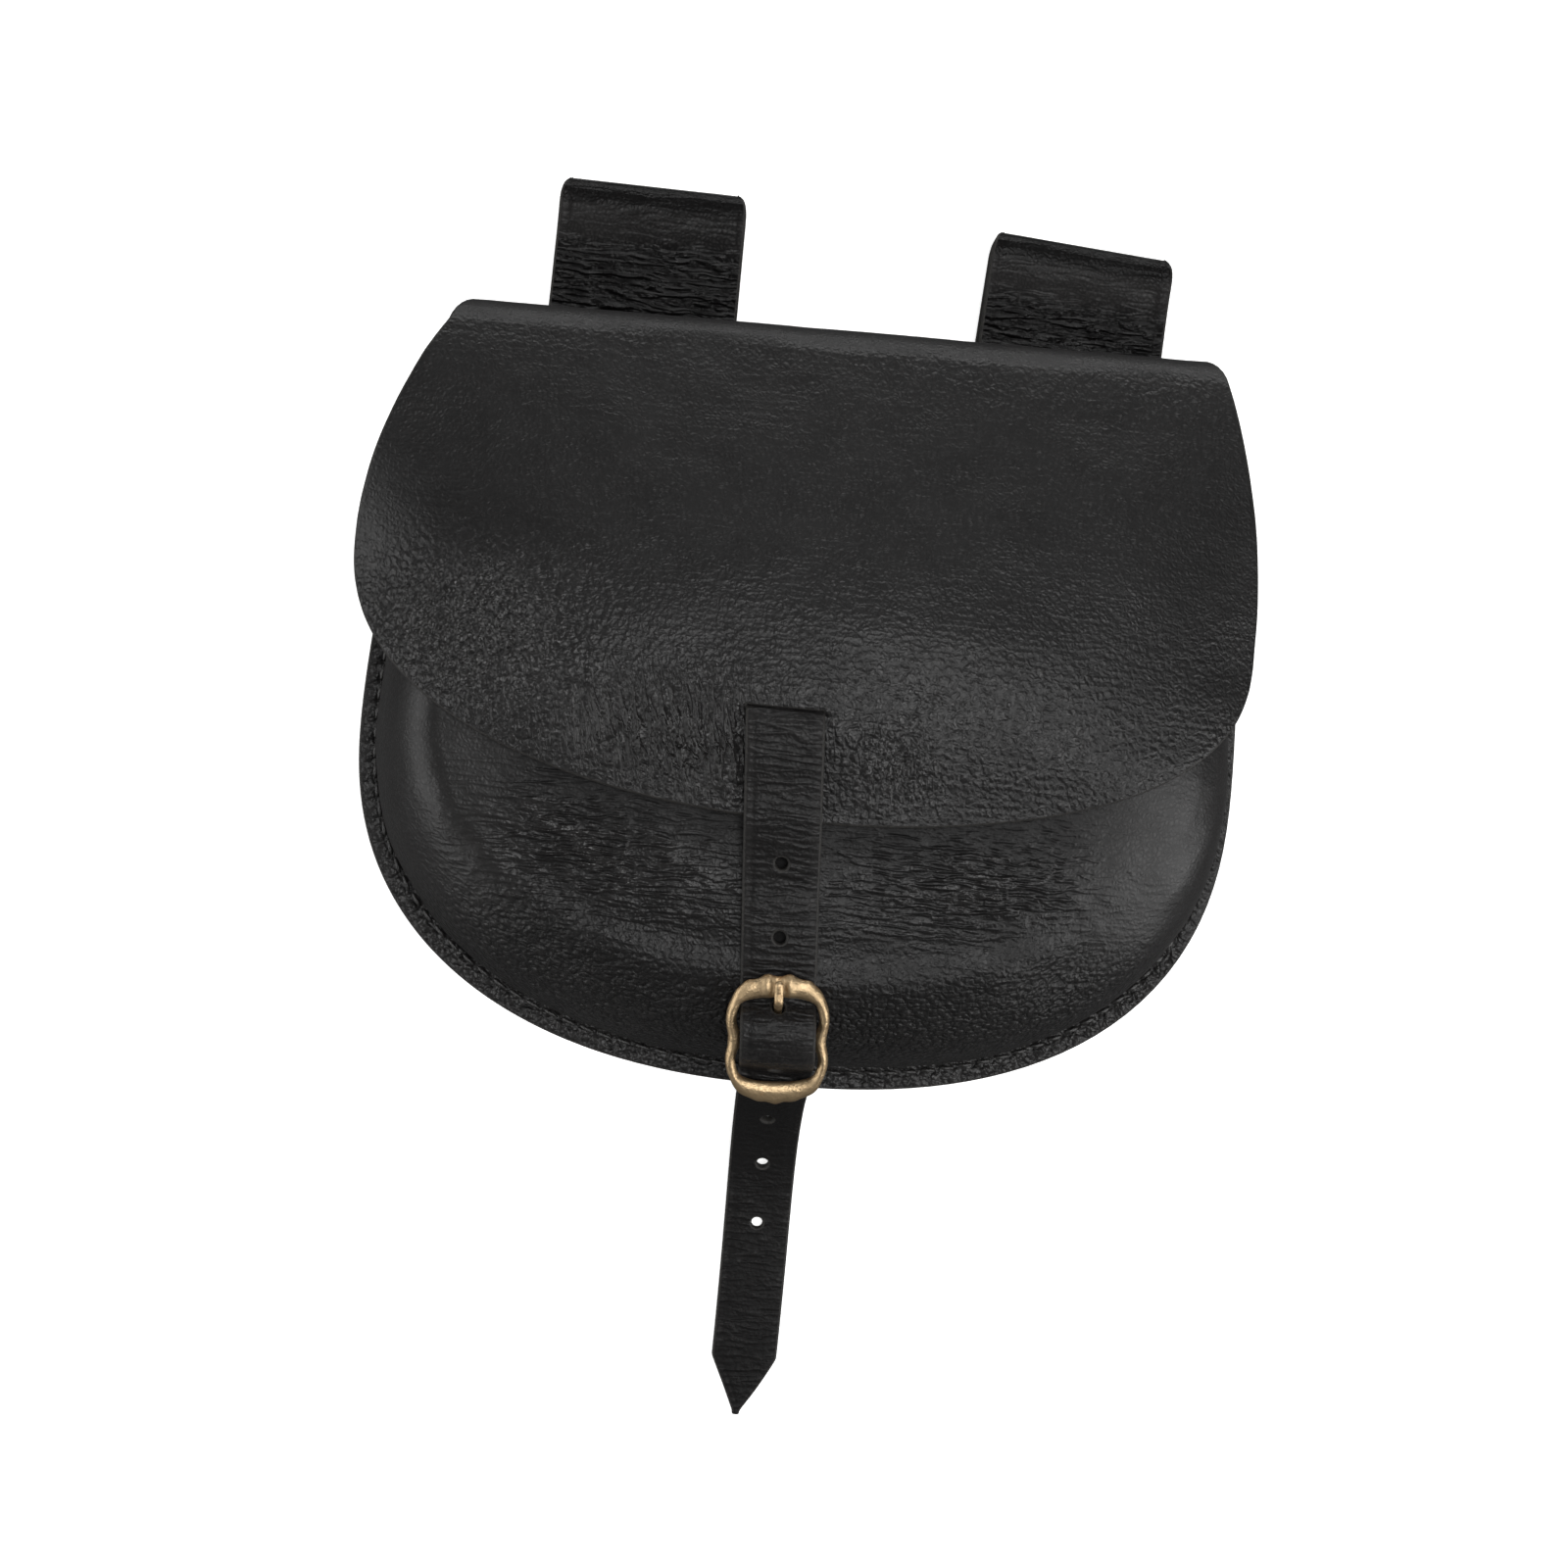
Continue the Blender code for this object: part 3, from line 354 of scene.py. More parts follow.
class Tree:
    """The nodes of one material, written as expressions."""

    def __init__(self, name: str) -> None:
        """Makes the material and finds its shader."""
        self.material = bpy.data.materials.new(name)
        self.material.use_nodes = True
        self.nodes = self.material.node_tree.nodes
        self.links = self.material.node_tree.links
        self.shader = self.nodes["Principled BSDF"]

    def node(
        self,
        kind: str,
        settings: dict[str, object] | None = None,
        inputs: dict[int | str, object] | None = None,
        output: int | str = 0,
    ) -> Value:
        """Adds a node.

        Args:
            kind: The node's type.
            settings: Its own settings, set first.
            inputs: A number, colour, vector or Value for each named or numbered input.
            output: Which output is wanted.

        Returns:
            That output.
        """
        made = self.nodes.new(kind)
        for name, value in (settings or {}).items():
            setattr(made, name, value)
        for key, value in (inputs or {}).items():
            self.feed(made.inputs[key], value)
        return Value(self, made.outputs[output])

    def feed(self, socket: bpy.types.NodeSocket, value: object) -> None:
        """Links a Value to a socket, or sets the socket to a constant."""
        if isinstance(value, Value):
            self.links.new(value.socket, socket)
        elif isinstance(value, tuple) and socket.type == "RGBA":
            socket.default_value = (*value, 1.0)
        else:
            socket.default_value = value

    def shade(self, **inputs: object) -> bpy.types.Material:
        """Feeds the shader's inputs, named with underscores for spaces, and gives the material."""
        for name, value in inputs.items():
            self.feed(self.shader.inputs[name.replace("_", " ")], value)
        return self.material

    def millimetres(self) -> Value:
        """Object coordinates in millimetres."""
        place = self.node("ShaderNodeTexCoord", output="Object")
        return self.stretch(place, (1 / METRES,) * 3)

    def attribute(self, name: str) -> Value:
        """A number that the mesh holds at each point."""
        return self.node("ShaderNodeAttribute", {"attribute_name": name}, output="Fac")

    def stretch(self, vector: Value, factors: Triple) -> Value:
        """A vector times a factor along each axis."""
        settings = {"operation": "MULTIPLY"}
        return self.node("ShaderNodeVectorMath", settings, {0: vector, 1: factors})

    def turned(self, vector: Value, turn: float, stretched: Triple) -> Value:
        """A place turned about Z, then divided, so that a pattern on it is stretched.

        Args:
            vector: The place.
            turn: How far the pattern is turned.
            stretched: How many times longer it is along each of its own axes.

        Returns:
            The place that the pattern is read at.
        """
        inputs = {"Vector": vector, "Rotation": (0.0, 0.0, turn), "Scale": stretched}
        return self.node("ShaderNodeMapping", {"vector_type": "TEXTURE"}, inputs)

    def strayed(self, vector: Value, scale: float, reach: float) -> Value:
        """A place moved about by noise, so that a pattern on it loses its evenness.

        Args:
            vector: The place.
            scale: How fine the noise is.
            reach: How far it moves places at most.

        Returns:
            The moved place.
        """
        inputs = {"Vector": vector, "Scale": scale, "Detail": 1.0}
        noise = self.node("ShaderNodeTexNoise", {}, inputs, "Color")
        settings = {"operation": "MULTIPLY_ADD"}
        offset = (-reach / 2,) * 3
        moved = self.node("ShaderNodeVectorMath", settings, {0: noise, 1: (reach,) * 3, 2: offset})
        return self.node("ShaderNodeVectorMath", {"operation": "ADD"}, {0: vector, 1: moved})

    def noise(self, vector: Value, scale: float, detail: float = 2.0) -> Value:
        """Noise from 0 to 1."""
        inputs = {"Vector": vector, "Scale": scale, "Detail": detail}
        return self.node("ShaderNodeTexNoise", {}, inputs)

    def pillows(self, vector: Value, size: float, border: float) -> Value:
        """Raised cells with valleys between them.

        Args:
            vector: The place.
            size: Width of a cell.
            border: Share of a cell over which it rises from the valley.

        Returns:
            0 in the valleys to 1 on the cells.
        """
        inputs = {"Vector": vector, "Scale": 1.0 / size}
        edge = self.node("ShaderNodeTexVoronoi", {"feature": "DISTANCE_TO_EDGE"}, inputs)
        return self.spread(edge, 0.0, border)

    def domes(self, vector: Value, size: float) -> Value:
        """Round grains: 1 on top of each, falling with the square of the distance from it."""
        inputs = {"Vector": vector, "Scale": 1.0 / size}
        off = self.node("ShaderNodeTexVoronoi", {"feature": "F1"}, inputs)
        return 1.0 - off * off * 1.7

    def waves(self, vector: Value, period: float, broken: Value) -> Value:
        """Long parallel ridges across the vector's X, wavering and of uneven height.

        Args:
            vector: The place.
            period: Distance between ridges.
            broken: How high they are from place to place.

        Returns:
            0 between the ridges to the given height on them.
        """
        inputs = {"Vector": vector, "Scale": WAVE_PERIOD / period, "Distortion": 8.0}
        inputs |= {"Detail": 1.0, "Detail Scale": 0.35}
        wave = self.node("ShaderNodeTexWave", {"bands_direction": "X"}, inputs)
        return wave * wave * broken

    def lines(self, vector: Value, scale: float, width: float) -> Value:
        """Thin raised lines, which follow the middle level of a noise.

        Args:
            vector: The place.
            scale: How fine the noise is.
            width: How wide the lines are, as a share of the noise's range.

        Returns:
            0 between the lines to 1 on them.
        """
        level = self.noise(vector, scale, 1.5)
        return self.spread(level, 0.5 - width, 0.5) - self.spread(level, 0.5, 0.5 + width)

    def spread(self, value: Value, low: float, high: float) -> Value:
        """A smooth step of a value, from 0 at low to 1 at high."""
        inputs = {"Value": value, 1: low, 2: high}
        return self.node("ShaderNodeMapRange", {"interpolation_type": "SMOOTHSTEP"}, inputs)

    def blend(self, factor: Value, a: Colour | Value, b: Colour | Value) -> Value:
        """Colour a where the factor is 0, b where it is 1."""
        inputs = {"Factor": factor, 6: a, 7: b}
        return self.node("ShaderNodeMix", {"data_type": "RGBA"}, inputs, output=2)

    def bump(self, height: Value) -> Value:
        """A normal from a height in millimetres."""
        inputs = {"Height": height, "Distance": METRES, "Strength": 1.0}
        return self.node("ShaderNodeBump", {}, inputs, "Normal")


@dataclass(frozen=True)
class GrainLeather:
    """Black tumbled leather: fine grain, and pebbles, creases and wrinkles where its mesh asks.

    Sizes and heights are in millimetres. The weights in the methods say how much of each pattern
    goes into the sum.

    Attributes:
        name: The material's name.
        valley: Colour between the pebbles, darker in part as painted shade.
        peak: Colour on top of them.
        roughness: Roughness of the pebbles' tops.
        gloss: Specular level.
        matting: How much rougher the places are that the matt-and-shade mask marks.
        border: Share of a pebble or crease over which it rises.
        fine: Width of the fine grain.
        fine_border: Share of it over which it rises.
        fine_height: Its height.
        pebble: Width of a coarse pebble.
        pebble_height: Its height.
        crease: Width of a creased cell along the piece.
        crease_stretch: How many times longer it is across the piece.
        crease_height: Its height.
        line_stretch: How many times longer the creases' lines and ripples are.
        ripple: Distance between the creases' ripples.
        wrinkle: Distance between wrinkles down the piece.
        wrinkle_stretch: How many times longer they are.
        wrinkle_turn: How far they are turned from straight down.
        wrinkle_height: Their height.
    """

    name: str
    valley: Colour = (0.0036, 0.0033, 0.0033)
    peak: Colour = (0.0135, 0.0128, 0.0126)
    roughness: float = 0.26
    gloss: float = 0.30
    matting: float = 0.4
    border: float = 0.40
    fine: float = 1.0
    fine_border: float = 0.42
    fine_height: float = 0.055
    pebble: float = 1.7
    pebble_height: float = 0.30
    crease: float = 1.5
    crease_stretch: float = 3.0
    crease_height: float = 0.20
    line_stretch: float = 5.0
    ripple: float = 1.7
    wrinkle: float = 2.6
    wrinkle_stretch: float = 5.5
    wrinkle_turn: float = math.radians(14.0)
    wrinkle_height: float = 1.05

    def material(self) -> bpy.types.Material:
        """The leather's material: heights of four grains, three of them under the mesh's masks."""
        tree = Tree(self.name)
        place = tree.millimetres()
        strayed = tree.strayed(place, 0.35, 0.8)
        bent = tree.strayed(place, 0.12, 1.8)
        pebbled, creased, wrinkled, polished, dull = map(tree.attribute, LEATHER_MASKS)
        fine = tree.pillows(strayed, self.fine, self.fine_border)
        pebbles = self._pebbles(tree, strayed) * pebbled
        creases = self._creases(tree, strayed, bent) * creased
        wrinkles = self._wrinkles(tree, bent) * wrinkled
        height = fine * self.fine_height * (1.0 - 0.55 * polished)
        height = height + pebbles * self.pebble_height + creases * self.crease_height
        height = height + wrinkles * self.wrinkle_height + tree.noise(place, 1.7) * 0.04
        # Painted light in the colour: the grain's valleys are darker than its rubbed tops, partly
        # as painted shade. The matt-and-shade mask darkens the colour as painted shade, and the
        # polish mask lightens it as a painted highlight.
        rubbed_and_valley_shade = fine * 0.30 + (pebbles + creases) * 0.4 + wrinkles * 0.7
        patches = tree.noise(place, 0.035, 3.0)
        tone = rubbed_and_valley_shade * 1.3 + (patches - 0.5) * 0.8 - dull + 0.5 * polished
        rough = self.roughness + (1.0 - rubbed_and_valley_shade) * 0.24 - 0.03 * polished + self.matting * dull
        return tree.shade(
            Base_Color=tree.blend(tree.spread(tone, 0.10, 1.0), self.valley, self.peak),
            Roughness=rough + (tree.noise(place, 0.11, 3.0) - 0.5) * 0.16,
            Normal=tree.bump(height),
            Specular_IOR_Level=self.gloss,
        )

    def _pebbles(self, tree: Tree, place: Value) -> Value:
        """Coarse pebbles, flat-topped ones among domed ones."""
        flat = tree.pillows(place, self.pebble, self.border)
        return flat * 0.5 + tree.domes(place, self.pebble * 0.8) * 0.6

    def _creases(self, tree: Tree, strayed: Value, bent: Value) -> Value:
        """Creases across the piece: cells, thin lines and ripples, all drawn out sideways."""
        across = tree.turned(strayed, 0.0, (self.crease_stretch, 1.0, 1.0))
        drawn = tree.turned(bent, 0.0, (self.line_stretch, 1.0, 1.0))
        along = tree.turned(drawn, math.pi / 2, (1.0, 1.0, 1.0))
        uneven = tree.spread(tree.noise(drawn, 0.5), 0.35, 0.62)
        creases = tree.pillows(across, self.crease, self.border) * 0.45
        creases = creases + tree.lines(drawn, 0.38, 0.11) * 0.6
        return creases + tree.waves(along, self.ripple, uneven) * 0.5

    def _wrinkles(self, tree: Tree, bent: Value) -> Value:
        """Wrinkles down the piece: thin lines over uneven ripples."""
        down = tree.turned(bent, self.wrinkle_turn, (1.0, self.wrinkle_stretch, 1.0))
        uneven = tree.spread(tree.noise(down, 0.55), 0.34, 0.60)
        return tree.lines(down, 0.62, 0.10) * 0.75 + tree.waves(down, self.wrinkle, uneven) * 0.7


@dataclass(frozen=True)
class CutEdge:
    """The cut edge of dyed leather: matt, a little paler, with fibres along it."""

    name: str
    dark: Colour = (0.008, 0.0075, 0.007)
    pale: Colour = (0.024, 0.022, 0.020)
    roughness: float = 0.60

    def material(self) -> bpy.types.Material:
        """The edge's material: streaks of noise, drawn out along the leather's layers."""
        tree = Tree(self.name)
        place = tree.millimetres()
        fibres = tree.noise(tree.stretch(place, (0.8, 0.8, 5.0)), 1.6, 4.0)
        colour = tree.blend(tree.spread(fibres, 0.3, 0.75), self.dark, self.pale)
        rough = self.roughness + (fibres - 0.5) * 0.25
        normal = tree.bump(fibres * 0.09)
        return tree.shade(
            Base_Color=colour, Roughness=rough, Normal=normal, Specular_IOR_Level=0.25
        )


@dataclass(frozen=True)
class FleshSide:
    """The flesh side of dyed leather: a short dark nap."""

    name: str
    dark: Colour = (0.009, 0.0085, 0.008)
    pale: Colour = (0.022, 0.020, 0.018)
    roughness: float = 0.88

    def material(self) -> bpy.types.Material:
        """The nap's material: fine noise over broad patches, matt all over."""
        tree = Tree(self.name)
        place = tree.millimetres()
        nap = tree.noise(place, 4.5, 3.0)
        patches = tree.noise(place, 0.12, 3.0)
        tone = tree.spread(nap * 0.5 + patches * 0.5, 0.25, 0.75)
        colour = tree.blend(tone, self.dark, self.pale)
        rough = self.roughness + (patches - 0.5) * 0.15
        return tree.shade(
            Base_Color=colour, Roughness=rough, Normal=tree.bump(nap * 0.10), Sheen_Weight=0.15
        )


@dataclass(frozen=True)
class CastBrass:
    """Cast brass: pale gold on the rubbed ridges, brown in stains and, as painted shade, low on
    the bars; pitted a little.
    """

    name: str
    gold: Colour = (0.455, 0.335, 0.198)
    bronze: Colour = (0.26, 0.150, 0.070)
    roughness: float = 0.47

    def material(self) -> bpy.types.Material:
        """The brass: gold and bronze mixed by the mesh's painted shade low on the bars and by
        noise.
        """
        tree = Tree(self.name)
        place = tree.millimetres()
        hollow = tree.attribute("hollow")
        stain = tree.noise(place, 0.55, 4.0)
        pits = tree.noise(place, 2.6, 3.0)
        tone = tree.spread(hollow + (stain - 0.5) * 1.9 + (pits - 0.5) * 0.8, 0.15, 0.95)
        colour = tree.blend(tone, self.gold, self.bronze)
        rough = self.roughness + tone * 0.16 + (pits - 0.5) * 0.22
        height = pits * 0.06 + tree.noise(place, 0.9, 2.0) * 0.16
        return tree.shade(
            Base_Color=colour, Roughness=rough, Metallic=1.0, Normal=tree.bump(height)
        )


@dataclass(frozen=True)
class WaxedThread:
    """Black waxed thread, its plies twisted round each other."""

    name: str
    base: Colour = (0.006, 0.0055, 0.0055)
    lit: Colour = (0.016, 0.015, 0.014)
    roughness: float = 0.42

    def material(self) -> bpy.types.Material:
        """The thread: stripes of the mesh's twist in colour and height."""
        tree = Tree(self.name)
        twist = tree.attribute("twist")
        colour = tree.blend(twist, self.base, self.lit)
        rough = self.roughness + twist * 0.1
        return tree.shade(Base_Color=colour, Roughness=rough, Normal=tree.bump(twist * 0.08))


@dataclass(frozen=True)
class PaleFloor:
    """The plain pale floor of the studio."""

    name: str
    pale: Colour = (0.84, 0.84, 0.835)
    glow: float = 0.75

    def material(self) -> bpy.types.Material:
        """The floor's material: pale, with a trace of unevenness."""
        tree = Tree(self.name)
        place = tree.millimetres()
        rough = 0.7 + (tree.noise(place, 0.01, 2.0) - 0.5) * 0.1
        return tree.shade(
            Base_Color=self.pale,
            Roughness=rough,
            Specular_IOR_Level=0.2,
            Emission_Color=self.pale,
            Emission_Strength=self.glow,
        )


# Meshes


class Side(Enum):
    """Which side of a leather sheet a face is on, as its material's number."""

    GRAIN = 0
    EDGE = 1
    FLESH = 2


@dataclass
class Geometry:
    """Points, quads and what goes with them, ready to become a mesh.

    Attributes:
        points: Places in millimetres, one row each.
        quads: Four point numbers a row.
        sides: Each face's material number.
        masks: Numbers at each point, by name.
        merge: Points nearer than this are made one, in millimetres, and faces turned outwards.
    """

    points: Array
    quads: Array
    sides: Array
    masks: dict[str, Array] = field(default_factory=dict)
    merge: float = 0.0

    def joined(self, other: "Geometry") -> "Geometry":
        """This geometry and another as one."""
        names = sorted(set(self.masks) | set(other.masks))
        mine, theirs = np.zeros(len(self.points)), np.zeros(len(other.points))
        return Geometry(
            np.vstack([self.points, other.points]),
            np.vstack([self.quads, other.quads + len(self.points)]),
            np.concatenate([self.sides, other.sides]),
            {
                name: np.concatenate([self.masks.get(name, mine), other.masks.get(name, theirs)])
                for name in names
            },
            max(self.merge, other.merge),
        )

    def piece(self, name: str, finishes: list[bpy.types.Material]) -> bpy.types.Object:
        """Makes the object, in metres in the model's frame.

        Args:
            name: The piece's name.
            finishes: Its materials, in the order of their numbers.

        Returns:
            The object, at the origin.
        """
        used, quads = np.unique(self.quads, return_inverse=True)
        quads = quads.reshape(self.quads.shape)
        points = (self.points[used] + (0.0, FRAME_SHIFT, 0.0)) * METRES
        mesh = bpy.data.meshes.new(name)
        mesh.vertices.add(len(points))
        mesh.vertices.foreach_set("co", points.astype(np.float32).ravel())
        mesh.loops.add(quads.size)
        mesh.loops.foreach_set("vertex_index", quads.astype(np.int32).ravel())
        mesh.polygons.add(len(quads))
        mesh.polygons.foreach_set("loop_start", np.arange(0, quads.size, 4, dtype=np.int32))
        mesh.polygons.foreach_set("material_index", self.sides.astype(np.int32))
        for key, values in self.masks.items():
            layer = mesh.attributes.new(key, "FLOAT", "POINT")
            layer.data.foreach_set("value", values[used].astype(np.float32))
        for finish in finishes:
            mesh.materials.append(finish)
        mesh.update(calc_edges=True)
        mesh.validate()
        if self.merge:
            shape = bmesh.new()
            shape.from_mesh(mesh)
            bmesh.ops.remove_doubles(shape, verts=shape.verts, dist=self.merge * METRES)
            bmesh.ops.recalc_face_normals(shape, faces=shape.faces)
            shape.to_mesh(mesh)
            shape.free()
        mesh.shade_smooth()
        made = bpy.data.objects.new(name, mesh)
        bpy.context.collection.objects.link(made)
        log.info("%s: %d faces", name, len(mesh.polygons))
        return made


def open_edges(quads: Array, count: int) -> tuple[Array, Array]:
    """Edges that only one face has, in that face's direction.

    Args:
        quads: Four point numbers a row.
        count: How many points there are.

    Returns:
        Each edge's first points, and its second points.
    """
    starts = quads.ravel()
    ends = np.roll(quads, -1, axis=1).ravel()
    alone = ~np.isin(starts * count + ends, ends * count + starts)
    return starts[alone], ends[alone]


def grid_quads(rows: int, columns: int, closed: bool = False) -> Array:
    """Quads of a grid of points, rows by columns, its columns closed into a ring if asked."""
    index = np.arange(rows * columns).reshape(rows, columns)
    if closed:
        index = np.hstack([index, index[:, :1]])
    quads = [index[:-1, :-1], index[1:, :-1], index[1:, 1:], index[:-1, 1:]]
    return np.stack(quads, axis=-1)


@dataclass
class Sheet:
    """A thick sheet of leather over a grid of middle points.

    A grain point is its middle point, plus its normal times half the leather and the relief. A
    flesh point is the same the other way. Round every open edge, and round every hole, a rounded
    rim leads from one to the other.

    Attributes:
        middle: Middle points, rows by columns, in millimetres.
        leather: The leather's thickness.
        grain: Relief of the grain side, outwards.
        flesh: Relief of the flesh side, outwards.
        rounding: Radius of the rim's corners, by which the rim stands out past the grid.
        left_out: Which of the grid's cells are a hole.
        lean: Sideways lean of the line through the leather, per unit of height.
        masks: Numbers at each grid point, by name.
    """

    middle: Array
    leather: float
    grain: Array | float = 0.0
    flesh: Array | float = 0.0
    rounding: float = 0.4
    left_out: Array | None = None
    lean: Array | float = 0.0
    masks: dict[str, Array] = field(default_factory=dict)

    def normals(self) -> Array:
        """Unit normals of the grid, towards the grain side: along times across."""
        along = np.gradient(self.middle, axis=0)
        across = np.gradient(self.middle, axis=1)
        return unit(np.cross(along, across))

    def geometry(self) -> Geometry:
        """Both sides and the rim as one closed shape."""
        rows, columns = self.middle.shape[:2]
        cells = grid_quads(rows, columns)
        kept = cells.reshape(-1, 4) if self.left_out is None else cells[~self.left_out]
        count = rows * columns
        flat_shape = (rows, columns)
        up = (self.normals() + self.lean).reshape(-1, 3)
        middle = self.middle.reshape(-1, 3)
        top = (self.leather / 2 + np.broadcast_to(self.grain, flat_shape)).ravel()
        low = (self.leather / 2 + np.broadcast_to(self.flesh, flat_shape)).ravel()
        starts, ends = open_edges(kept, count)
        ring = np.unique(np.concatenate([starts, ends]))
        number = np.zeros(count, int)
        number[ring] = np.arange(len(ring))
        outward = np.zeros((count, 3))
        sideways = unit(np.cross(middle[ends] - middle[starts], up[starts] + up[ends]))
        np.add.at(outward, starts, sideways)
        np.add.at(outward, ends, sideways)
        outward = unit(outward[ring])
        quads = [kept, kept[:, ::-1] + count]
        sides = [np.full(len(kept), Side.GRAIN.value), np.full(len(kept), Side.FLESH.value)]
        points = [middle + up * top[:, None], middle - up * low[:, None]]
        around = np.radians(RIM_ANGLES)
        corners = [(math.sin(a), math.cos(a), 1.0) for a in around]
        corners += [(math.sin(a), math.cos(a), -1.0) for a in around[::-1]]
        before = ring
        for step, (out, rise, way) in enumerate(corners):
            height = np.where(way > 0, top[ring], low[ring]) - self.rounding * (1 - rise)
            rim = middle[ring] + outward * self.rounding * out + up[ring] * (way * height)[:, None]
            after = 2 * count + step * len(ring) + np.arange(len(ring))
            quads.append(self._band(before, after, number[starts], number[ends]))
            points.append(rim)
            before = after
        quads.append(self._band(before, ring + count, number[starts], number[ends]))
        bands = (len(corners) + 1) * len(starts)
        sides.append(np.full(bands, Side.EDGE.value))
        masks = {}
        for name, values in self.masks.items():
            flat = np.broadcast_to(values, flat_shape).ravel()
            masks[name] = np.concatenate([flat, flat, np.tile(flat[ring], len(corners))])
        return Geometry(np.vstack(points), np.vstack(quads), np.concatenate(sides), masks)

    @staticmethod
    def _band(before: Array, after: Array, starts: Array, ends: Array) -> Array:
        """Quads between two rings of points, one on each open edge."""
        return np.stack([before[ends], before[starts], after[starts], after[ends]], axis=1)


def tube(centres: Array, offsets: Array, closed: bool) -> Geometry:
    """A profile carried along a path.

    Args:
        centres: The path's points.
        offsets: Each ring's points less its centre, rings by sides by 3.
        closed: True if the path is a ring, else its ends are drawn in to a point.

    Returns:
        The tube.
    """
    rings = centres[:, None, :] + offsets
    if closed:
        rings = np.concatenate([rings, rings[:1]])
    else:
        start = np.broadcast_to(centres[0], (1, *rings.shape[1:]))
        end = np.broadcast_to(centres[-1], (1, *rings.shape[1:]))
        rings = np.concatenate([start, rings, end])
    quads = grid_quads(rings.shape[0], rings.shape[1], closed=True).reshape(-1, 4)
    return Geometry(rings.reshape(-1, 3), quads, np.zeros(len(quads), int), merge=POLE_MERGE)


# The pouch's form

# Height of the shell's face along its middle line, from the mouth down to the lower ridge
CROWN = ((0.00, 0.93), (0.25, 0.97), (0.45, 1.00), (0.70, 0.985), (0.90, 0.96), (1.00, 0.935))

# Broad dents of the shell's face: across, along, reach, depth
DENTS = (
    (-0.52, -0.40, 0.20, 0.030),
    (-0.20, -0.62, 0.16, 0.016),
    (0.34, -0.48, 0.18, 0.022),
    (0.60, -0.12, 0.16, 0.020),
)

# The strap's rise over the middle bar, between the end bars: along, rise
STRAP_HUMP = (
    (1.00, 0.0),
    (0.70, 0.05),
    (0.36, 0.80),
    (0.00, 1.0),
    (-0.36, 0.80),
    (-0.70, 0.05),
    (-1.00, 0.0),
)

# The strap's fall from the buckle to the table: along, height
STRAP_FALL = (
    (0.04, 0.89),
    (0.09, 0.73),
    (0.17, 0.55),
    (0.29, 0.37),
    (0.43, 0.22),
    (0.60, 0.105),
    (0.78, 0.035),
    (0.96, 0.004),
)

# How far the strap's free end strays from straight: along, aside
STRAP_STRAY = ((0.0, 0.0), (0.45, 0.5), (0.85, 0.5), (1.0, 0.0))


def table_value(table: tuple, t: Array) -> Array:
    """A table's second column at t along its first, on a curve through its rows."""
    line = curve_through(np.array(table), SPAN_POINTS)
    return np.interp(t, line[:, 0], line[:, 1])


def by_side(x: Array, left: Array | float, right: Array | float) -> Array:
    """The value of the side that x lies on."""
    return np.where(np.asarray(x) < 0, left, right)


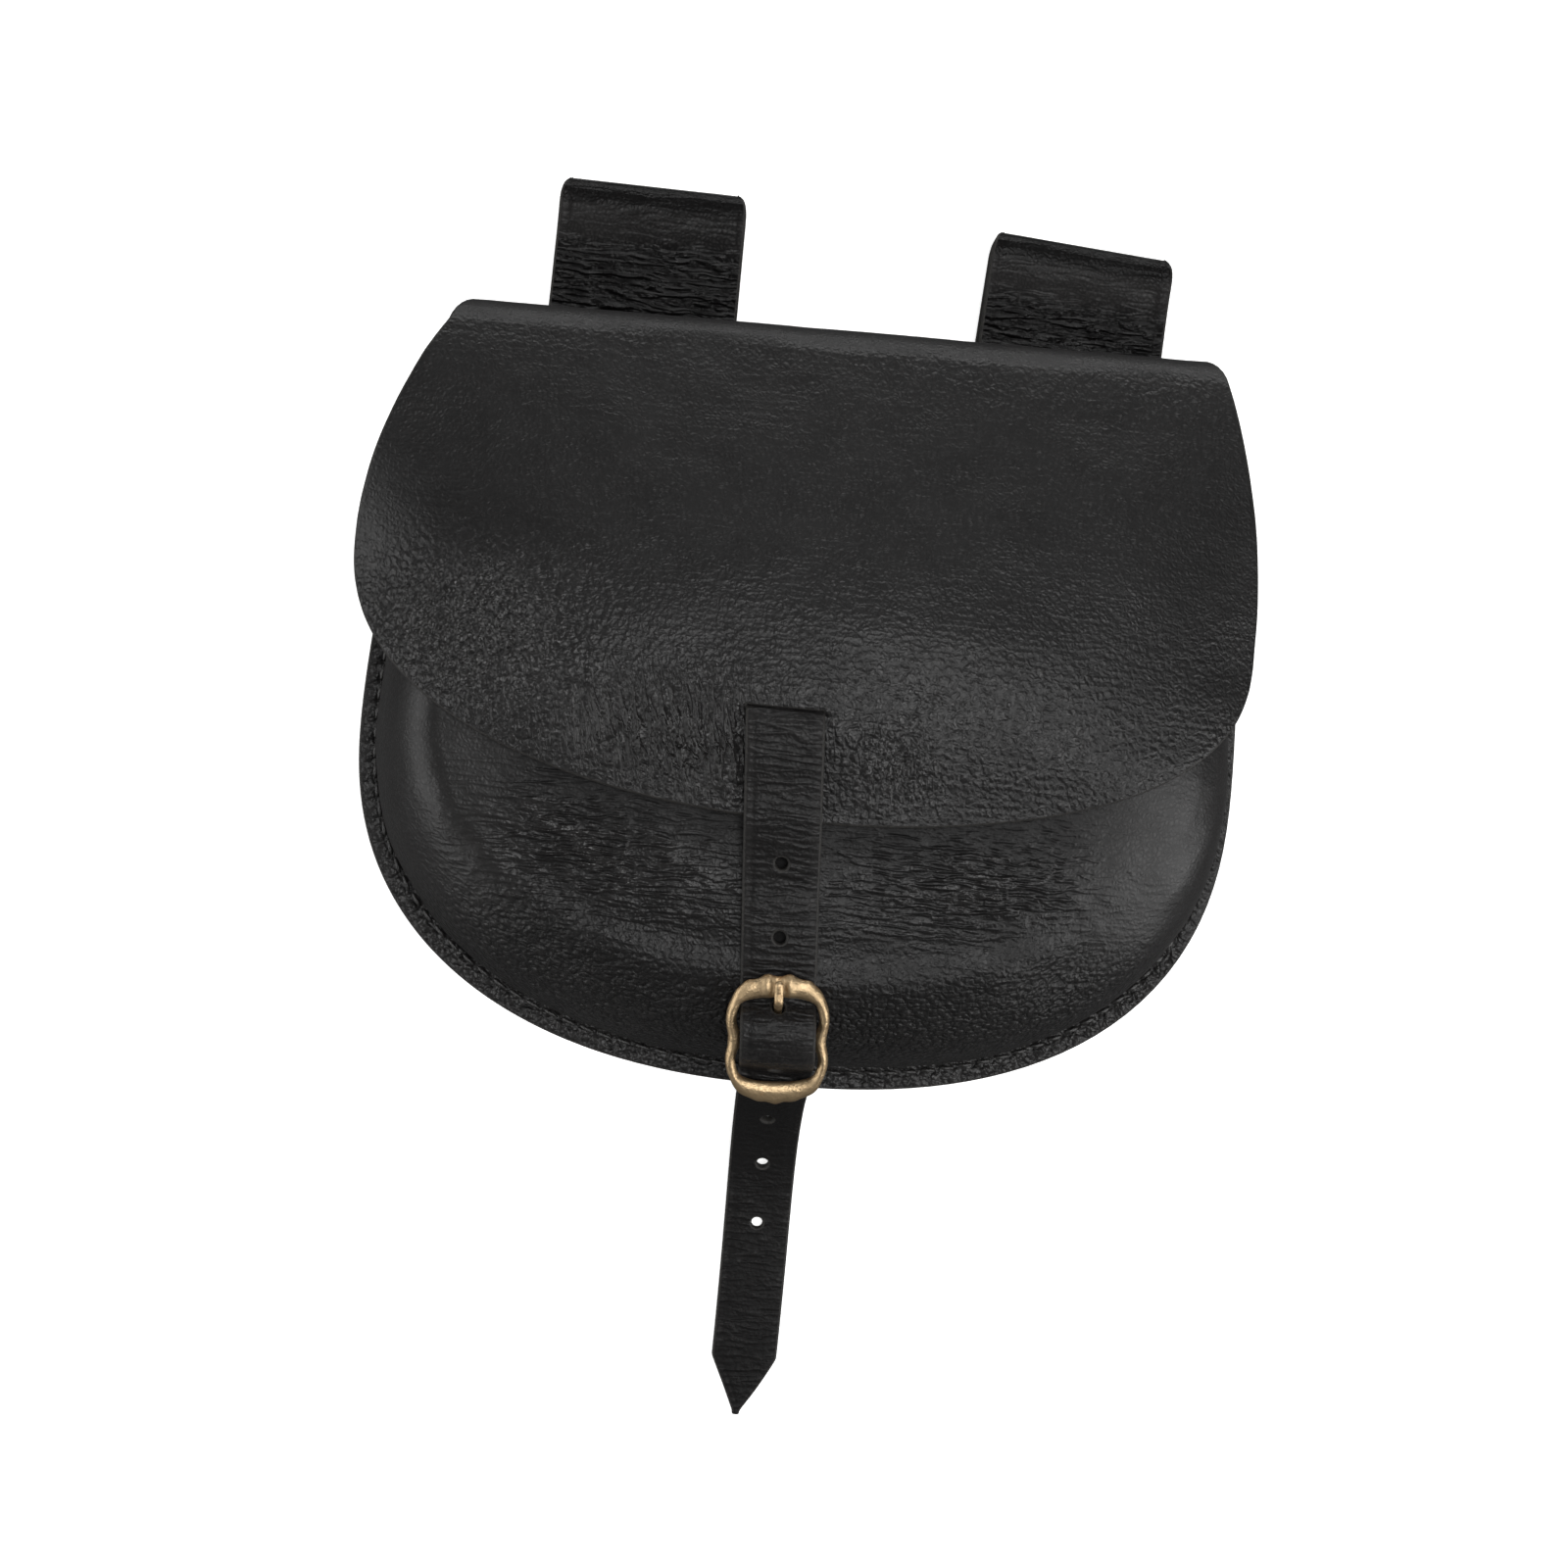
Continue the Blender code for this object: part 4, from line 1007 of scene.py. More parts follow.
@dataclass(frozen=True)
class PouchForm:
    """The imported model's sizes in millimetres, and the surfaces that follow from them.

    Only the flap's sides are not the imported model's: they droop less here, by 12.5 and 8 mm and
    not by 15 and 10, along a softer curve.
    """

    body_leather: float = 2.0
    shell_leather: float = 1.8
    strap_leather: float = 1.8
    loop_leather: float = 1.8
    tab_leather: float = 1.5
    touch: float = 0.3
    curved_touch: float = 0.45
    body_half_width: float = 98.9
    body_depth_below: float = 73.9
    body_roundness: float = 2.36
    body_flare: float = 1.7
    body_lean: float = 2.2
    fold_inset_left: float = 15.9
    fold_inset_right: float = 17.5
    fold_corner: float = 3.5
    fold_top: float = 93.5
    fold_skew: float = 0.022
    lift_length: float = 63.5
    pouch_height: float = 44.0
    flange_width: float = 6.0
    wall_run_left: float = 22.0
    wall_run_bottom: float = 26.0
    wall_run_right: float = 16.0
    wall_foot: float = 1.8
    wall_shoulder: float = 0.6
    sides_fall: float = 4.0
    mouth_below_fold: float = 25.0
    fold_radius: float = 9.0
    fold_sweep: float = math.radians(160.0)
    flap_room: float = 2.9
    flap_inset_left: float = 1.3
    flap_inset_right: float = 8.6
    flap_length: float = 104.5
    flap_widest_left: float = 37.0
    flap_widest_right: float = 29.0
    flap_roundness: float = 2.1
    flap_flare: float = 1.8
    flap_droop_left: float = 12.5
    flap_droop_right: float = 8.0
    flap_settle: float = 20.0
    droop_from_left: float = 0.46
    droop_from_right: float = 0.59
    curve_run: float = 58.0
    softness: float = 2.5
    belt_space: float = 4.6
    loop_width: float = 40.4
    loop_left_from_end: float = 38.2
    loop_right_from_end: float = 30.4
    loop_left_rise: float = 31.5
    loop_right_rise: float = 29.0
    loop_right_lean: float = math.radians(3.4)
    loop_front_length: float = 60.0
    loop_corner: float = 5.0
    loop_corner_in: float = 1.8
    strap_width: float = 15.0
    strap_end_width: float = 14.0
    strap_hidden: float = 20.0
    strap_lean: float = 6.2
    strap_offset: float = -0.6
    strap_drop_run: float = 41.0
    strap_tip: float = 152.0
    strap_point: float = 13.5
    stray: float = 1.5
    slit_from_edge: float = 22.0
    slit_climb: float = math.radians(58.0)
    slit_bend: float = 2.2
    slit_lead: float = 3.0
    hole_radius: float = 1.55
    hole_pitch: float = 15.5
    holes_above: int = 2
    holes_below: int = 5
    buckle_length: float = 27.5
    buckle_side_room: float = 1.1
    buckle_roundness: float = 3.4
    buckle_waist: float = 1.1
    buckle_waist_length: float = 3.0
    buckle_tilt: float = math.radians(17.0)
    end_bar_width: float = 4.0
    end_bar_from: float = 0.7
    side_bar_width: float = 2.4
    frame_thickness: float = 2.8
    crest_height: float = 0.8
    crest_reach: float = 3.5
    buckle_past_ridge: float = 3.0
    middle_bar_radius: float = 1.1
    middle_bar_sink: float = 2.5
    middle_bar_crank: float = 1.5
    hump_room: float = 1.6
    tongue_radius: float = 0.8
    tongue_hole_at: float = 6.6
    tongue_lead: float = 2.2
    tongue_overhang: float = 0.6
    tongue_open_from: float = math.radians(60.0)
    tongue_open_to: float = math.radians(335.0)
    tab_width: float = 11.4
    tab_slot: float = 3.0
    tab_reach: float = 8.0
    tab_opens: float = 2.6

    @property
    def fold_left(self) -> float:
        """Half width of the fold on the left."""
        return self.body_half_width - self.fold_inset_left

    @property
    def fold_right(self) -> float:
        """Half width of the fold on the right."""
        return self.body_half_width - self.fold_inset_right

    @property
    def loop_lift(self) -> float:
        """How high the belt loops lift the back panel."""
        return 2 * self.loop_leather + self.belt_space + self.curved_touch

    @property
    def fold_middle(self) -> Array:
        """(y, z) of the middle of the fold's bend."""
        y = self.fold_top - self.fold_radius - self.body_leather / 2
        return np.array([y, self.loop_lift + self.body_leather / 2 + self.fold_radius])

    @property
    def flap_start(self) -> Array:
        """(y, z) where the flap leaves the fold's bend."""
        turn = (math.sin(self.fold_sweep), -math.cos(self.fold_sweep))
        return self.fold_middle + self.fold_radius * np.array(turn)

    @property
    def flap_edge_y(self) -> float:
        """Where the flap ends on the middle line."""
        return self.fold_top - self.flap_length

    @property
    def mouth_y(self) -> float:
        """Where the shell's mouth is."""
        return self.fold_top - self.mouth_below_fold

    @property
    def ridge_y(self) -> float:
        """The shell's lower ridge on the middle line."""
        return -(self.body_depth_below - self.flange_width - self.wall_run_bottom)

    @property
    def slit_y(self) -> float:
        """Where the strap comes up through the flap."""
        return self.flap_edge_y + self.slit_from_edge

    def back_height(self, y: Array) -> Array:
        """Underside of the back panel: on the table low down, lifted over the loops higher up."""
        return self.loop_lift * ease(np.asarray(y) / self.lift_length)

    def flange_height(self, y: Array) -> Array:
        """Underside of the shell's sewn flange."""
        return self.back_height(y) + self.body_leather + self.touch

    def crown(self, y: Array) -> Array:
        """Outer face of the shell on its middle line, under the straight run of the flap."""
        along = (self.mouth_y - y) / (self.mouth_y - self.ridge_y)
        dome = self.pouch_height * table_value(CROWN, np.clip(along, 0.0, 1.0))
        start_y, start_z = self.flap_start
        line = start_z + (start_y - y) * math.tan(math.pi - self.fold_sweep)
        return soft_min(line - self.body_leather / 2 - self.flap_room, dome, self.softness)

    def body_edge(self, x: Array, y: Array) -> Array:
        """Distance of the back panel's edge from the middle line at y, on the side of x."""
        below = np.clip(-y / self.body_depth_below, 0.0, 1.0)
        low = (1 - below**self.body_roundness) ** (1 / self.body_roundness)
        above = np.clip(y / self.fold_middle[0], 0.0, 1.0)
        inset = by_side(x, self.fold_inset_left, self.fold_inset_right)
        high = self.body_half_width - inset * above**self.body_flare
        return np.where(y < 0, self.body_half_width * low, high)

    def flap_edge(self, x: Array, y: Array) -> Array:
        """Distance of the flap's edge from the middle line at y, on the side of x."""
        fold = by_side(x, self.fold_left, self.fold_right)
        widest = self.flap_widest(x)
        widest_y = by_side(x, self.flap_widest_left, self.flap_widest_right)
        start_y = self.flap_start[0]
        share = np.clip((start_y - y) / (start_y - widest_y), 0.0, 1.0)
        below = np.clip((widest_y - y) / (widest_y - self.flap_edge_y), 0.0, 1.0)
        flared = fold + (widest - fold) * (1 - (1 - share) ** self.flap_flare)
        return flared * (1 - below**self.flap_roundness) ** (1 / self.flap_roundness)

    def flap_bottom(self, x: Array) -> Array:
        """Where the flap's lower edge is at x."""
        widest_y = by_side(x, self.flap_widest_left, self.flap_widest_right)
        share = np.clip(np.abs(x) / self.flap_widest(x), 0.0, 1.0)
        below = (1 - share**self.flap_roundness) ** (1 / self.flap_roundness)
        return widest_y - (widest_y - self.flap_edge_y) * below

    def flap_widest(self, x: Array) -> Array:
        """The flap's half width where it is widest, on the side of x."""
        return self.body_half_width - by_side(x, self.flap_inset_left, self.flap_inset_right)

    def curved_share(self, y: Array) -> Array:
        """How far the leather's cross-section is curved at y: not at all at the fold."""
        return ease((self.fold_middle[0] - y) / self.curve_run)

    def side_fall(self, x: Array, y: Array) -> Array:
        """How far the leather has fallen below its middle line at x."""
        return self.sides_fall * self.curved_share(y) * (x / self.body_half_width) ** 2

    def face_height(self, x: Array, y: Array) -> Array:
        """Outer face of the shell inside its ridge."""
        dent = 0.0
        for across, along, reach, depth in DENTS:
            dx = x - across * self.body_half_width
            dy = y - along * self.body_depth_below
            far = np.hypot(dx, dy) / (reach * self.body_half_width)
            dent = dent + depth * self.pouch_height * bell(far)
        under_flap = ease((y - self.flap_edge_y) / self.flap_settle)
        return self.crown(y) - self.side_fall(x, y) - dent * (1 - under_flap)

    def wall_rise(self, share: Array) -> Array:
        """Height share of the shell's wall at a share of its run."""
        return (1 - (1 - share) ** self.wall_foot) ** self.wall_shoulder

    def wall_run(self, x: Array, y: Array) -> Array:
        """Run of the wall at an outline point: by side, and more towards the bottom."""
        side = by_side(x, self.wall_run_left, self.wall_run_right)
        return side + (self.wall_run_bottom - side) * ease(-y / self.body_depth_below)

    def flap_gap(self, y: Array) -> Array:
        """Gap between shell and flap, closing to a touch at the flap's edge."""
        closed = 2 * self.touch
        rise = ease((y - self.flap_edge_y) / self.flap_settle)
        return closed + (self.flap_room - closed) * rise

    def flap_height(self, x: Array, y: Array) -> Array:
        """Middle of the flap's leather: over the shell's face, drooping past its ridge."""
        centre = self.crown(y) + self.flap_gap(y) + self.body_leather / 2
        droop = by_side(x, self.flap_droop_left, self.flap_droop_right)
        start = by_side(x, self.droop_from_left, self.droop_from_right) * self.flap_widest(x)
        past = np.clip((np.abs(x) - start) / (self.flap_widest(x) - start), 0.0, 1.0)
        return centre - self.side_fall(x, y) - droop * self.curved_share(y) * past**2.3

    def skew(self, x: Array, y: Array) -> Array:
        """How much higher the fold lies at x: it runs a little up to the right."""
        return self.fold_skew * x * ease(y / self.fold_middle[0])

    def settled(self, x: Array, y: Array) -> tuple[Array, Array]:
        """Where a place on the body lies: the bottom hangs to the right, the fold is skew."""
        below = np.clip(-y / self.body_depth_below, 0.0, 1.0)
        return x + self.body_lean * below**2, y + self.skew(x, y)

    # The buckle's place, and the strap's way through it

    @property
    def buckle_up(self) -> Array:
        """(y, z) of the buckle's lengthwise direction."""
        return np.array([math.cos(self.buckle_tilt), math.sin(self.buckle_tilt)])

    @property
    def buckle_out(self) -> Array:
        """(y, z) of the direction out of the buckle's plane."""
        return np.array([-math.sin(self.buckle_tilt), math.cos(self.buckle_tilt)])

    @property
    def buckle_arm(self) -> float:
        """Distance of the end bars' middles from the buckle's."""
        return (self.buckle_length - self.end_bar_width) / 2

    @property
    def buckle_width(self) -> float:
        """The buckle's outer width."""
        return self.strap_width + 2 * (self.side_bar_width + self.buckle_side_room)

    @property
    def strap_under(self) -> float:
        """How far the strap's middle lies under the end bars' middles."""
        return self.frame_thickness / 2 + self.curved_touch + self.strap_leather / 2

    @property
    def buckle_origin(self) -> Array:
        """(y, z) of the buckle's middle."""
        over_ridge = self.crown(self.ridge_y) + self.curved_touch + self.strap_leather / 2
        top_bar = np.array([self.ridge_y, float(over_ridge)])
        top_bar = top_bar - self.buckle_up * self.buckle_past_ridge
        top_bar = top_bar + self.buckle_out * self.strap_under
        return top_bar - self.buckle_up * self.buckle_arm

    def buckle_point(self, along: float, above: float) -> Array:
        """(y, z) of a point given along the buckle's length and above its plane."""
        return self.buckle_origin + self.buckle_up * along + self.buckle_out * above

    def strap_aside(self, y: Array) -> Array:
        """The strap's middle line in x: it leans towards the left loop above the buckle."""
        low = self.buckle_point(-self.buckle_length / 2, 0.0)[0]
        past = -soft_min(low - y, 0.0 * y, self.softness)
        lean = self.strap_lean / (self.slit_y - low) * past
        share = np.clip((low - y) / (low + self.strap_tip), 0.0, 1.0)
        return self.strap_offset - lean + self.stray * table_value(STRAP_STRAY, share)

    def strap_path(self, per_span: int = 10) -> Array:
        """The strap's middle line in (y, z), from its hidden end to its tip."""
        slit_z = float(self.flap_height(0.0, self.slit_y))
        half = self.body_leather / 2 + self.curved_touch + self.strap_leather / 2
        turn = self.slit_bend * math.tan(self.slit_climb / 2)
        climb = half / math.tan(self.slit_climb)
        lead = climb + self.slit_lead
        y = np.linspace(self.slit_y + self.strap_hidden, self.slit_y + lead, 6)
        points = list(np.column_stack([y, self.flap_height(0.0 * y, y) - half]))
        lower = np.array([self.slit_y + climb, slit_z - half])
        upper = np.array([self.slit_y - climb, slit_z + half])
        slope = (upper - lower) / np.linalg.norm(upper - lower)
        level = np.array([turn, 0.0])
        points += [lower + level, lower + slope * turn, (self.slit_y, slit_z)]
        points += [upper - slope * turn, upper - level]
        y = np.linspace(self.slit_y - lead, self.flap_edge_y - self.touch, 4)
        z = self.flap_height(0.0 * y, np.maximum(y, self.flap_edge_y)) + half
        points += list(np.column_stack([y, z]))
        y = np.linspace(self.flap_edge_y, self.ridge_y, 6)[2:-1]
        z = self.crown(y) + self.curved_touch + self.strap_leather / 2
        points += list(np.column_stack([y, z]))
        wrapped = max(self.tongue_radius * 2, self.tab_leather) + self.hump_room
        hump = self.middle_bar_radius + wrapped + self.strap_leather / 2 - self.middle_bar_sink
        for along, rise in STRAP_HUMP:
            above = (hump + self.strap_under) * rise - self.strap_under
            points.append(self.buckle_point(self.buckle_arm * along, above))
        foot = points[-1]
        floor = self.strap_leather / 2
        for along, height in STRAP_FALL:
            drop = (foot[0] - along * self.strap_drop_run, floor + (foot[1] - floor) * height)
            points.append(drop)
        y = np.linspace(foot[0] - self.strap_drop_run, -self.strap_tip, 6)
        points += [(value, floor) for value in y]
        return curve_through(np.array([tuple(point) for point in points]), per_span)

    def tongue_hole(self, path: Array) -> float:
        """Arc length of the strap's path at the hole that the tongue goes through."""
        along = (path - self.buckle_origin) @ self.buckle_up
        return float(np.interp(-self.tongue_hole_at, -along, arc_lengths(path)))

    def to_buckle(self, points: Array) -> Array:
        """Points given across, along and above the buckle, in the pouch's frame."""
        flat = np.asarray(points, float)
        middle = self.buckle_origin[0]
        turn = math.atan(float(self.strap_aside(middle + 1) - self.strap_aside(middle - 1)) / 2)
        across = flat[..., 0] * math.cos(turn) + flat[..., 1] * math.sin(turn)
        along = flat[..., 1] * math.cos(turn) - flat[..., 0] * math.sin(turn)
        yz = along[..., None] * self.buckle_up + flat[..., 2:3] * self.buckle_out
        x = across + self.strap_aside(middle)
        return np.concatenate([x[..., None], self.buckle_origin + yz], axis=-1)


FORM = PouchForm()
LONGEST_RISE = max(FORM.loop_left_rise, FORM.loop_right_rise)
FRAME_SHIFT = (FORM.strap_tip - FORM.fold_top - LONGEST_RISE) / 2


# Pieces

GRAINS = {
    grain.name.removesuffix("_grain"): grain
    for grain in (
        GrainLeather("flap_leather_grain"),
        GrainLeather("shell_leather_grain", gloss=0.25, roughness=0.24, crease_height=0.36),
        GrainLeather("strap_leather_grain", gloss=0.16, roughness=0.27, crease_height=0.26),
        # The loops' wide span of colour, from dark valleys to pale peaks, makes their painted
        # highlight and painted shade stronger.
        GrainLeather(
            "loop_leather_grain",
            valley=(0.0020, 0.0018, 0.0018),
            peak=(0.0190, 0.0180, 0.0178),
            roughness=0.20,
            gloss=0.10,
            matting=0.0,
            crease=1.7,
            crease_height=0.75,
        ),
        GrainLeather("tab_leather_grain", gloss=0.16),
    )
}


@functools.cache
def finished(finish: object) -> bpy.types.Material:
    """A finish's material, made once and shared by the pieces that have it."""
    return finish.material()


@dataclass(frozen=True)
class Piece:
    """A part of the pouch that is built as one mesh.

    Attributes:
        form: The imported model's form.
        name: The piece's name.
        node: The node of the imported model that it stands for, if it does.
        slot: The material slot that it takes its finish from.
    """

    form: PouchForm
    name: str
    node: str
    slot: str

    def build(self) -> Geometry:
        """The piece's geometry."""
        raise NotImplementedError

    def dress(self) -> list[bpy.types.Material]:
        """The piece's materials, in the order of their numbers."""
        raise NotImplementedError

    def place(self) -> bpy.types.Object:
        """Builds and dresses the piece, hides the imported node that it stands for, if any, and
        hangs it under the body.
        """
        made = self.build().piece(self.name, self.dress())
        if self.node:
            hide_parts(self.node)
        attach(made, BODY)
        return made


@dataclass(frozen=True)
class LeatherPiece(Piece):
    """A piece of thick leather, finished on its grain side, cut edge and flesh side."""

    def dress(self) -> list[bpy.types.Material]:
        """Grain, cut edge and flesh side."""
        grain = GRAINS[self.slot]
        edge = CutEdge("leather_cut_edge")
        return [finished(grain), finished(edge), finished(FleshSide("leather_flesh_side"))]


@dataclass(frozen=True)
class Seam:
    """A row of stitches round the body's edge, and the marks that it leaves in the leather.

    Attributes:
        form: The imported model's form.
        inset_left: How far inside the edge the row runs on the left.
        inset_right: The same at the bottom and on the right.
        pitch: Distance from stitch to stitch.
        groove: Depth of the groove that the row has pulled into the leather.
        hole: Depth of the hole at each end of a stitch.
        pucker: How far the leather outside the row is drawn in and out from stitch to stitch.
        side_steps: How many points the edge has beside the mouth, on each side.
        bottom_steps: How many it has round the bottom.
    """

    form: PouchForm
    inset_left: float = 3.9
    inset_right: float = 3.4
    pitch: float = 4.5
    groove: float = 0.38
    hole: float = 0.34
    pucker: float = 0.26
    side_steps: int = 60
    bottom_steps: int = 400

    def outline(self, count: int) -> Array:
        """The body's edge, from its mouth on the right, round the bottom, to the left.

        Args:
            count: How many points, evenly spaced.

        Returns:
            (x, y) of each, before the body's lean and skew.
        """
        form = self.form
        mouth = np.linspace(form.mouth_y, 0.0, self.side_steps, endpoint=False)
        angles = np.linspace(0.0, math.pi, self.bottom_steps)
        power = 2 / form.body_roundness
        x = form.body_half_width * np.sign(np.cos(angles)) * np.abs(np.cos(angles)) ** power
        y = -form.body_depth_below * np.abs(np.sin(angles)) ** power
        right = np.column_stack([form.body_edge(1.0, mouth), mouth])
        left = np.column_stack([-form.body_edge(-1.0, mouth), mouth])[::-1]
        line = np.vstack([right, np.column_stack([x, y]), left])
        length = arc_lengths(line)[-1]
        return at_lengths(line, np.linspace(0.0, length, count))

    def inset(self, x: Array) -> Array:
        """How far inside the edge the row runs at x: it drifts out towards the right."""
        share = ease((x + self.form.body_half_width) / self.form.body_half_width)
        return self.inset_left + (self.inset_right - self.inset_left) * share

    def inward(self, line: Array) -> tuple[Array, Array]:
        """Distances and directions from the edge to the middle of the mouth."""
        way = np.array([0.0, self.form.mouth_y]) - line
        distance = np.linalg.norm(way, axis=1)
        return distance, way / distance[:, None]

    def relief(self, arc: Array, inset: Array, row: Array) -> Array:
        """The marks of the row in the leather.

        Args:
            arc: Length along the edge.
            inset: Distance inside the edge.
            row: How far inside the edge the row runs there.

        Returns:
            Heights: a groove, a hole at each stitch's ends, and puckers outside the row.
        """
        off = inset - row
        turn = 2 * math.pi * arc / self.pitch
        holes = bell(off / 0.75) * (0.5 - 0.5 * np.cos(turn)) ** 2
        outside = ease(1 - np.abs(off + 1.7) / 2.2)
        drawn = np.cos(turn) * outside * self.pucker
        return -self.groove * bell(off) - self.hole * holes + drawn


@dataclass(frozen=True)
class BackAndFlap(LeatherPiece):
    """One sheet of leather: back panel, fold and flap, slit for the strap.

    Attributes:
        seam: The row of stitches through the back panel.
        columns: How many points across.
        back_rows: How many rows round the bottom.
        straight_rows: How many rows up the back.
        fold_rows: How many rows round the fold.
        flap_rows: How many rows down the flap.
        even_rows: Share of the flap's rows that are evenly spaced.
        even_length: Share of the flap's length that those rows take.
        seam_steps: How many points of the seam its marks are read from.
        back_turn: How far round the bottom the lowest row is.
        corner_fade: Over what length of flap the fold's rounded corner fades out.
        flap_share: Share of the flap's length at which its last row is.
        slit_room: Room round the strap in the slit.
        press: How deep the strap has pressed into the flap.
        press_reach: How far beside the strap the leather comes up again.
        lip: Height of the raised lip above the slit.
        lip_reach: How far from the slit it fades out.
        broad: The flap's broad waves.
        small: The leather's small unevenness.
        stretched: Flat waves across the flap's upper part.
        gathers: Folds left of the strap.
        gathered: Where they are.
        puckers: Folds right of the strap.
        puckered: Where they are.
        lumps: Coarse lumps in the flap's lower left corner.
        low_corner: Where they are.
    """

    seam: Seam
    columns: int = 201
    back_rows: int = 34
    straight_rows: int = 26
    fold_rows: int = 16
    flap_rows: int = 128
    even_rows: float = 0.75
    even_length: float = 0.84
    seam_steps: int = 900
    back_turn: float = math.radians(88.6)
    corner_fade: float = 3.0
    flap_share: float = 0.99925
    slit_room: float = 0.45
    press: float = 0.12
    press_reach: float = 2.5
    lip: float = 0.75
    lip_reach: float = 7.0
    broad: Waves = Waves(11, 34.0, 26.0, 2, 0.42)
    small: Waves = Waves(12, 9.0, 7.0, 3, 0.085)
    stretched: Waves = Waves(13, 30.0, 5.5, 2, 0.07)
    gathers: Folds = Folds(14, 2.5, 15.0, 0.55, 0.34)
    gathered: Patch = Patch(-27.0, 4.0, 17.0, 8.5)
    puckers: Folds = Folds(15, 3.4, 7.0, 0.5, 0.20)
    puckered: Patch = Patch(16.0, 1.0, 8.0, 7.0)
    lumps: Folds = Folds(16, 2.6, 2.3, 0.5, 0.16)
    low_corner: Patch = Patch(-71.0, 22.0, 17.0, 12.0)

    @property
    def slit_half(self) -> float:
        """Half the slit's height, with its room."""
        return (self.form.strap_leather / 2) / math.sin(self.form.slit_climb) + self.slit_room

    @property
    def slit_reach(self) -> float:
        """Half the slit's width, with its room."""
        return self.form.strap_width / 2 + self.slit_room

    def lengthwise(self) -> Array:
        """Places of the flap's rows: even down to near its edge, then closer and closer."""
        form = self.form
        start = form.flap_start[0]
        t = np.linspace(0.0, 1.0, self.flap_rows)
        rest = np.clip((t - self.even_rows) / (1 - self.even_rows), 0.0, 1.0)
        crowded = self.even_length + (1 - self.even_length) * (1 - (1 - rest) ** 1.75)
        eased = np.where(t < self.even_rows, t * self.even_length / self.even_rows, crowded)
        y = start + (form.flap_edge_y - start) * eased * self.flap_share
        return snapped(y, (form.slit_y + self.slit_half, form.slit_y - self.slit_half))

    def shares(self) -> Array:
        """Places of the columns, from the left edge to the right, crowded towards the edges."""
        form = self.form
        t = np.linspace(-1.0, 1.0, self.columns)
        even = 0.80 * t + 0.20 * np.sin(t * math.pi / 2)
        middle = float(form.strap_aside(form.slit_y))
        left = (middle - self.slit_reach) / float(form.flap_edge(-1.0, form.slit_y))
        right = (middle + self.slit_reach) / float(form.flap_edge(1.0, form.slit_y))
        return snapped(even, (left, right))

    def grid(self) -> tuple[Array, Array]:
        """Middle points, and how many rows come before the flap."""
        form = self.form
        shares = self.shares()
        angles = np.linspace(self.back_turn, 0.0, self.back_rows)
        low = -form.body_depth_below * np.sin(angles) ** (2 / form.body_roundness)
        middle_y, middle_z = form.fold_middle
        high = np.linspace(0.0, middle_y, self.straight_rows)[1:]
        back_y = np.concatenate([low, high])[:, None]
        back_x = form.body_edge(shares, back_y) * shares
        back_z = form.back_height(back_y) + form.body_leather / 2 + 0.0 * back_x
        turn = np.linspace(0.0, form.fold_sweep, self.fold_rows)[1:-1, None]
        reach = by_side(shares, form.fold_left, form.fold_right)
        fold_x = (reach - form.fold_corner * np.sin(turn) ** 3) * shares
        fold_y = middle_y + form.fold_radius * np.sin(turn)
        fold_z = middle_z - form.fold_radius * np.cos(turn) + 0.0 * fold_x
        flap_y = self.lengthwise()[:, None]
        flap_x = form.flap_edge(shares, flap_y) * shares
        corner = form.fold_corner * math.sin(form.fold_sweep) ** 3
        easing = np.exp(-(form.flap_start[0] - flap_y) / self.corner_fade)
        flap_x = flap_x - corner * easing * shares
        flap_z = form.flap_height(flap_x, flap_y)
        x = np.concatenate([back_x, fold_x, flap_x])
        y = np.concatenate([back_y + 0 * back_x, fold_y + 0 * fold_x, flap_y + 0 * flap_x])
        z = np.concatenate([back_z, fold_z, flap_z])
        grid_x, grid_y = form.settled(x, y)
        return np.stack([grid_x, grid_y, z], axis=-1), len(back_x) + len(fold_x)

    def build(self) -> Geometry:
        """The sheet, its relief and its slit."""
        form = self.form
        middle, first = self.grid()
        x, y = middle[..., 0], middle[..., 1]
        on_flap = (np.arange(len(middle)) >= first)[:, None] * np.ones_like(x)
        gathered = self.gathered.share(x, y) * on_flap
        puckered = self.puckered.share(x, y) * on_flap
        lumpy = self.low_corner.share(x, y) * on_flap
        broad = self.broad.at(x, y) * on_flap
        small = self.small.at(x, y)
        fan = x + (y - self.gathered.y) * (0.35 + (x + 30.0) * 0.012)
        relief = broad + small
        relief = relief + self.stretched.at(x + 0.5 * y, y) * on_flap * ramp(y, 40.0, 70.0)
        relief = relief + self.gathers.at(fan, y) * gathered
        relief = relief + self.puckers.at(x, y) * puckered + self.lumps.at(x, y) * lumpy
        relief = self._under_strap(relief, x, y, on_flap)
        middle[..., 2] += 0.5 * broad
        seam_marks, near_seam = self._seam_marks(x, y, on_flap)
        low = 1 - ramp(y, 8.0, 50.0)
        pebbled = 3.0 * lumpy + 1.2 * puckered + 0.16 + 0.45 * low + 0.3 * bell((y - 88.0) / 8.0)
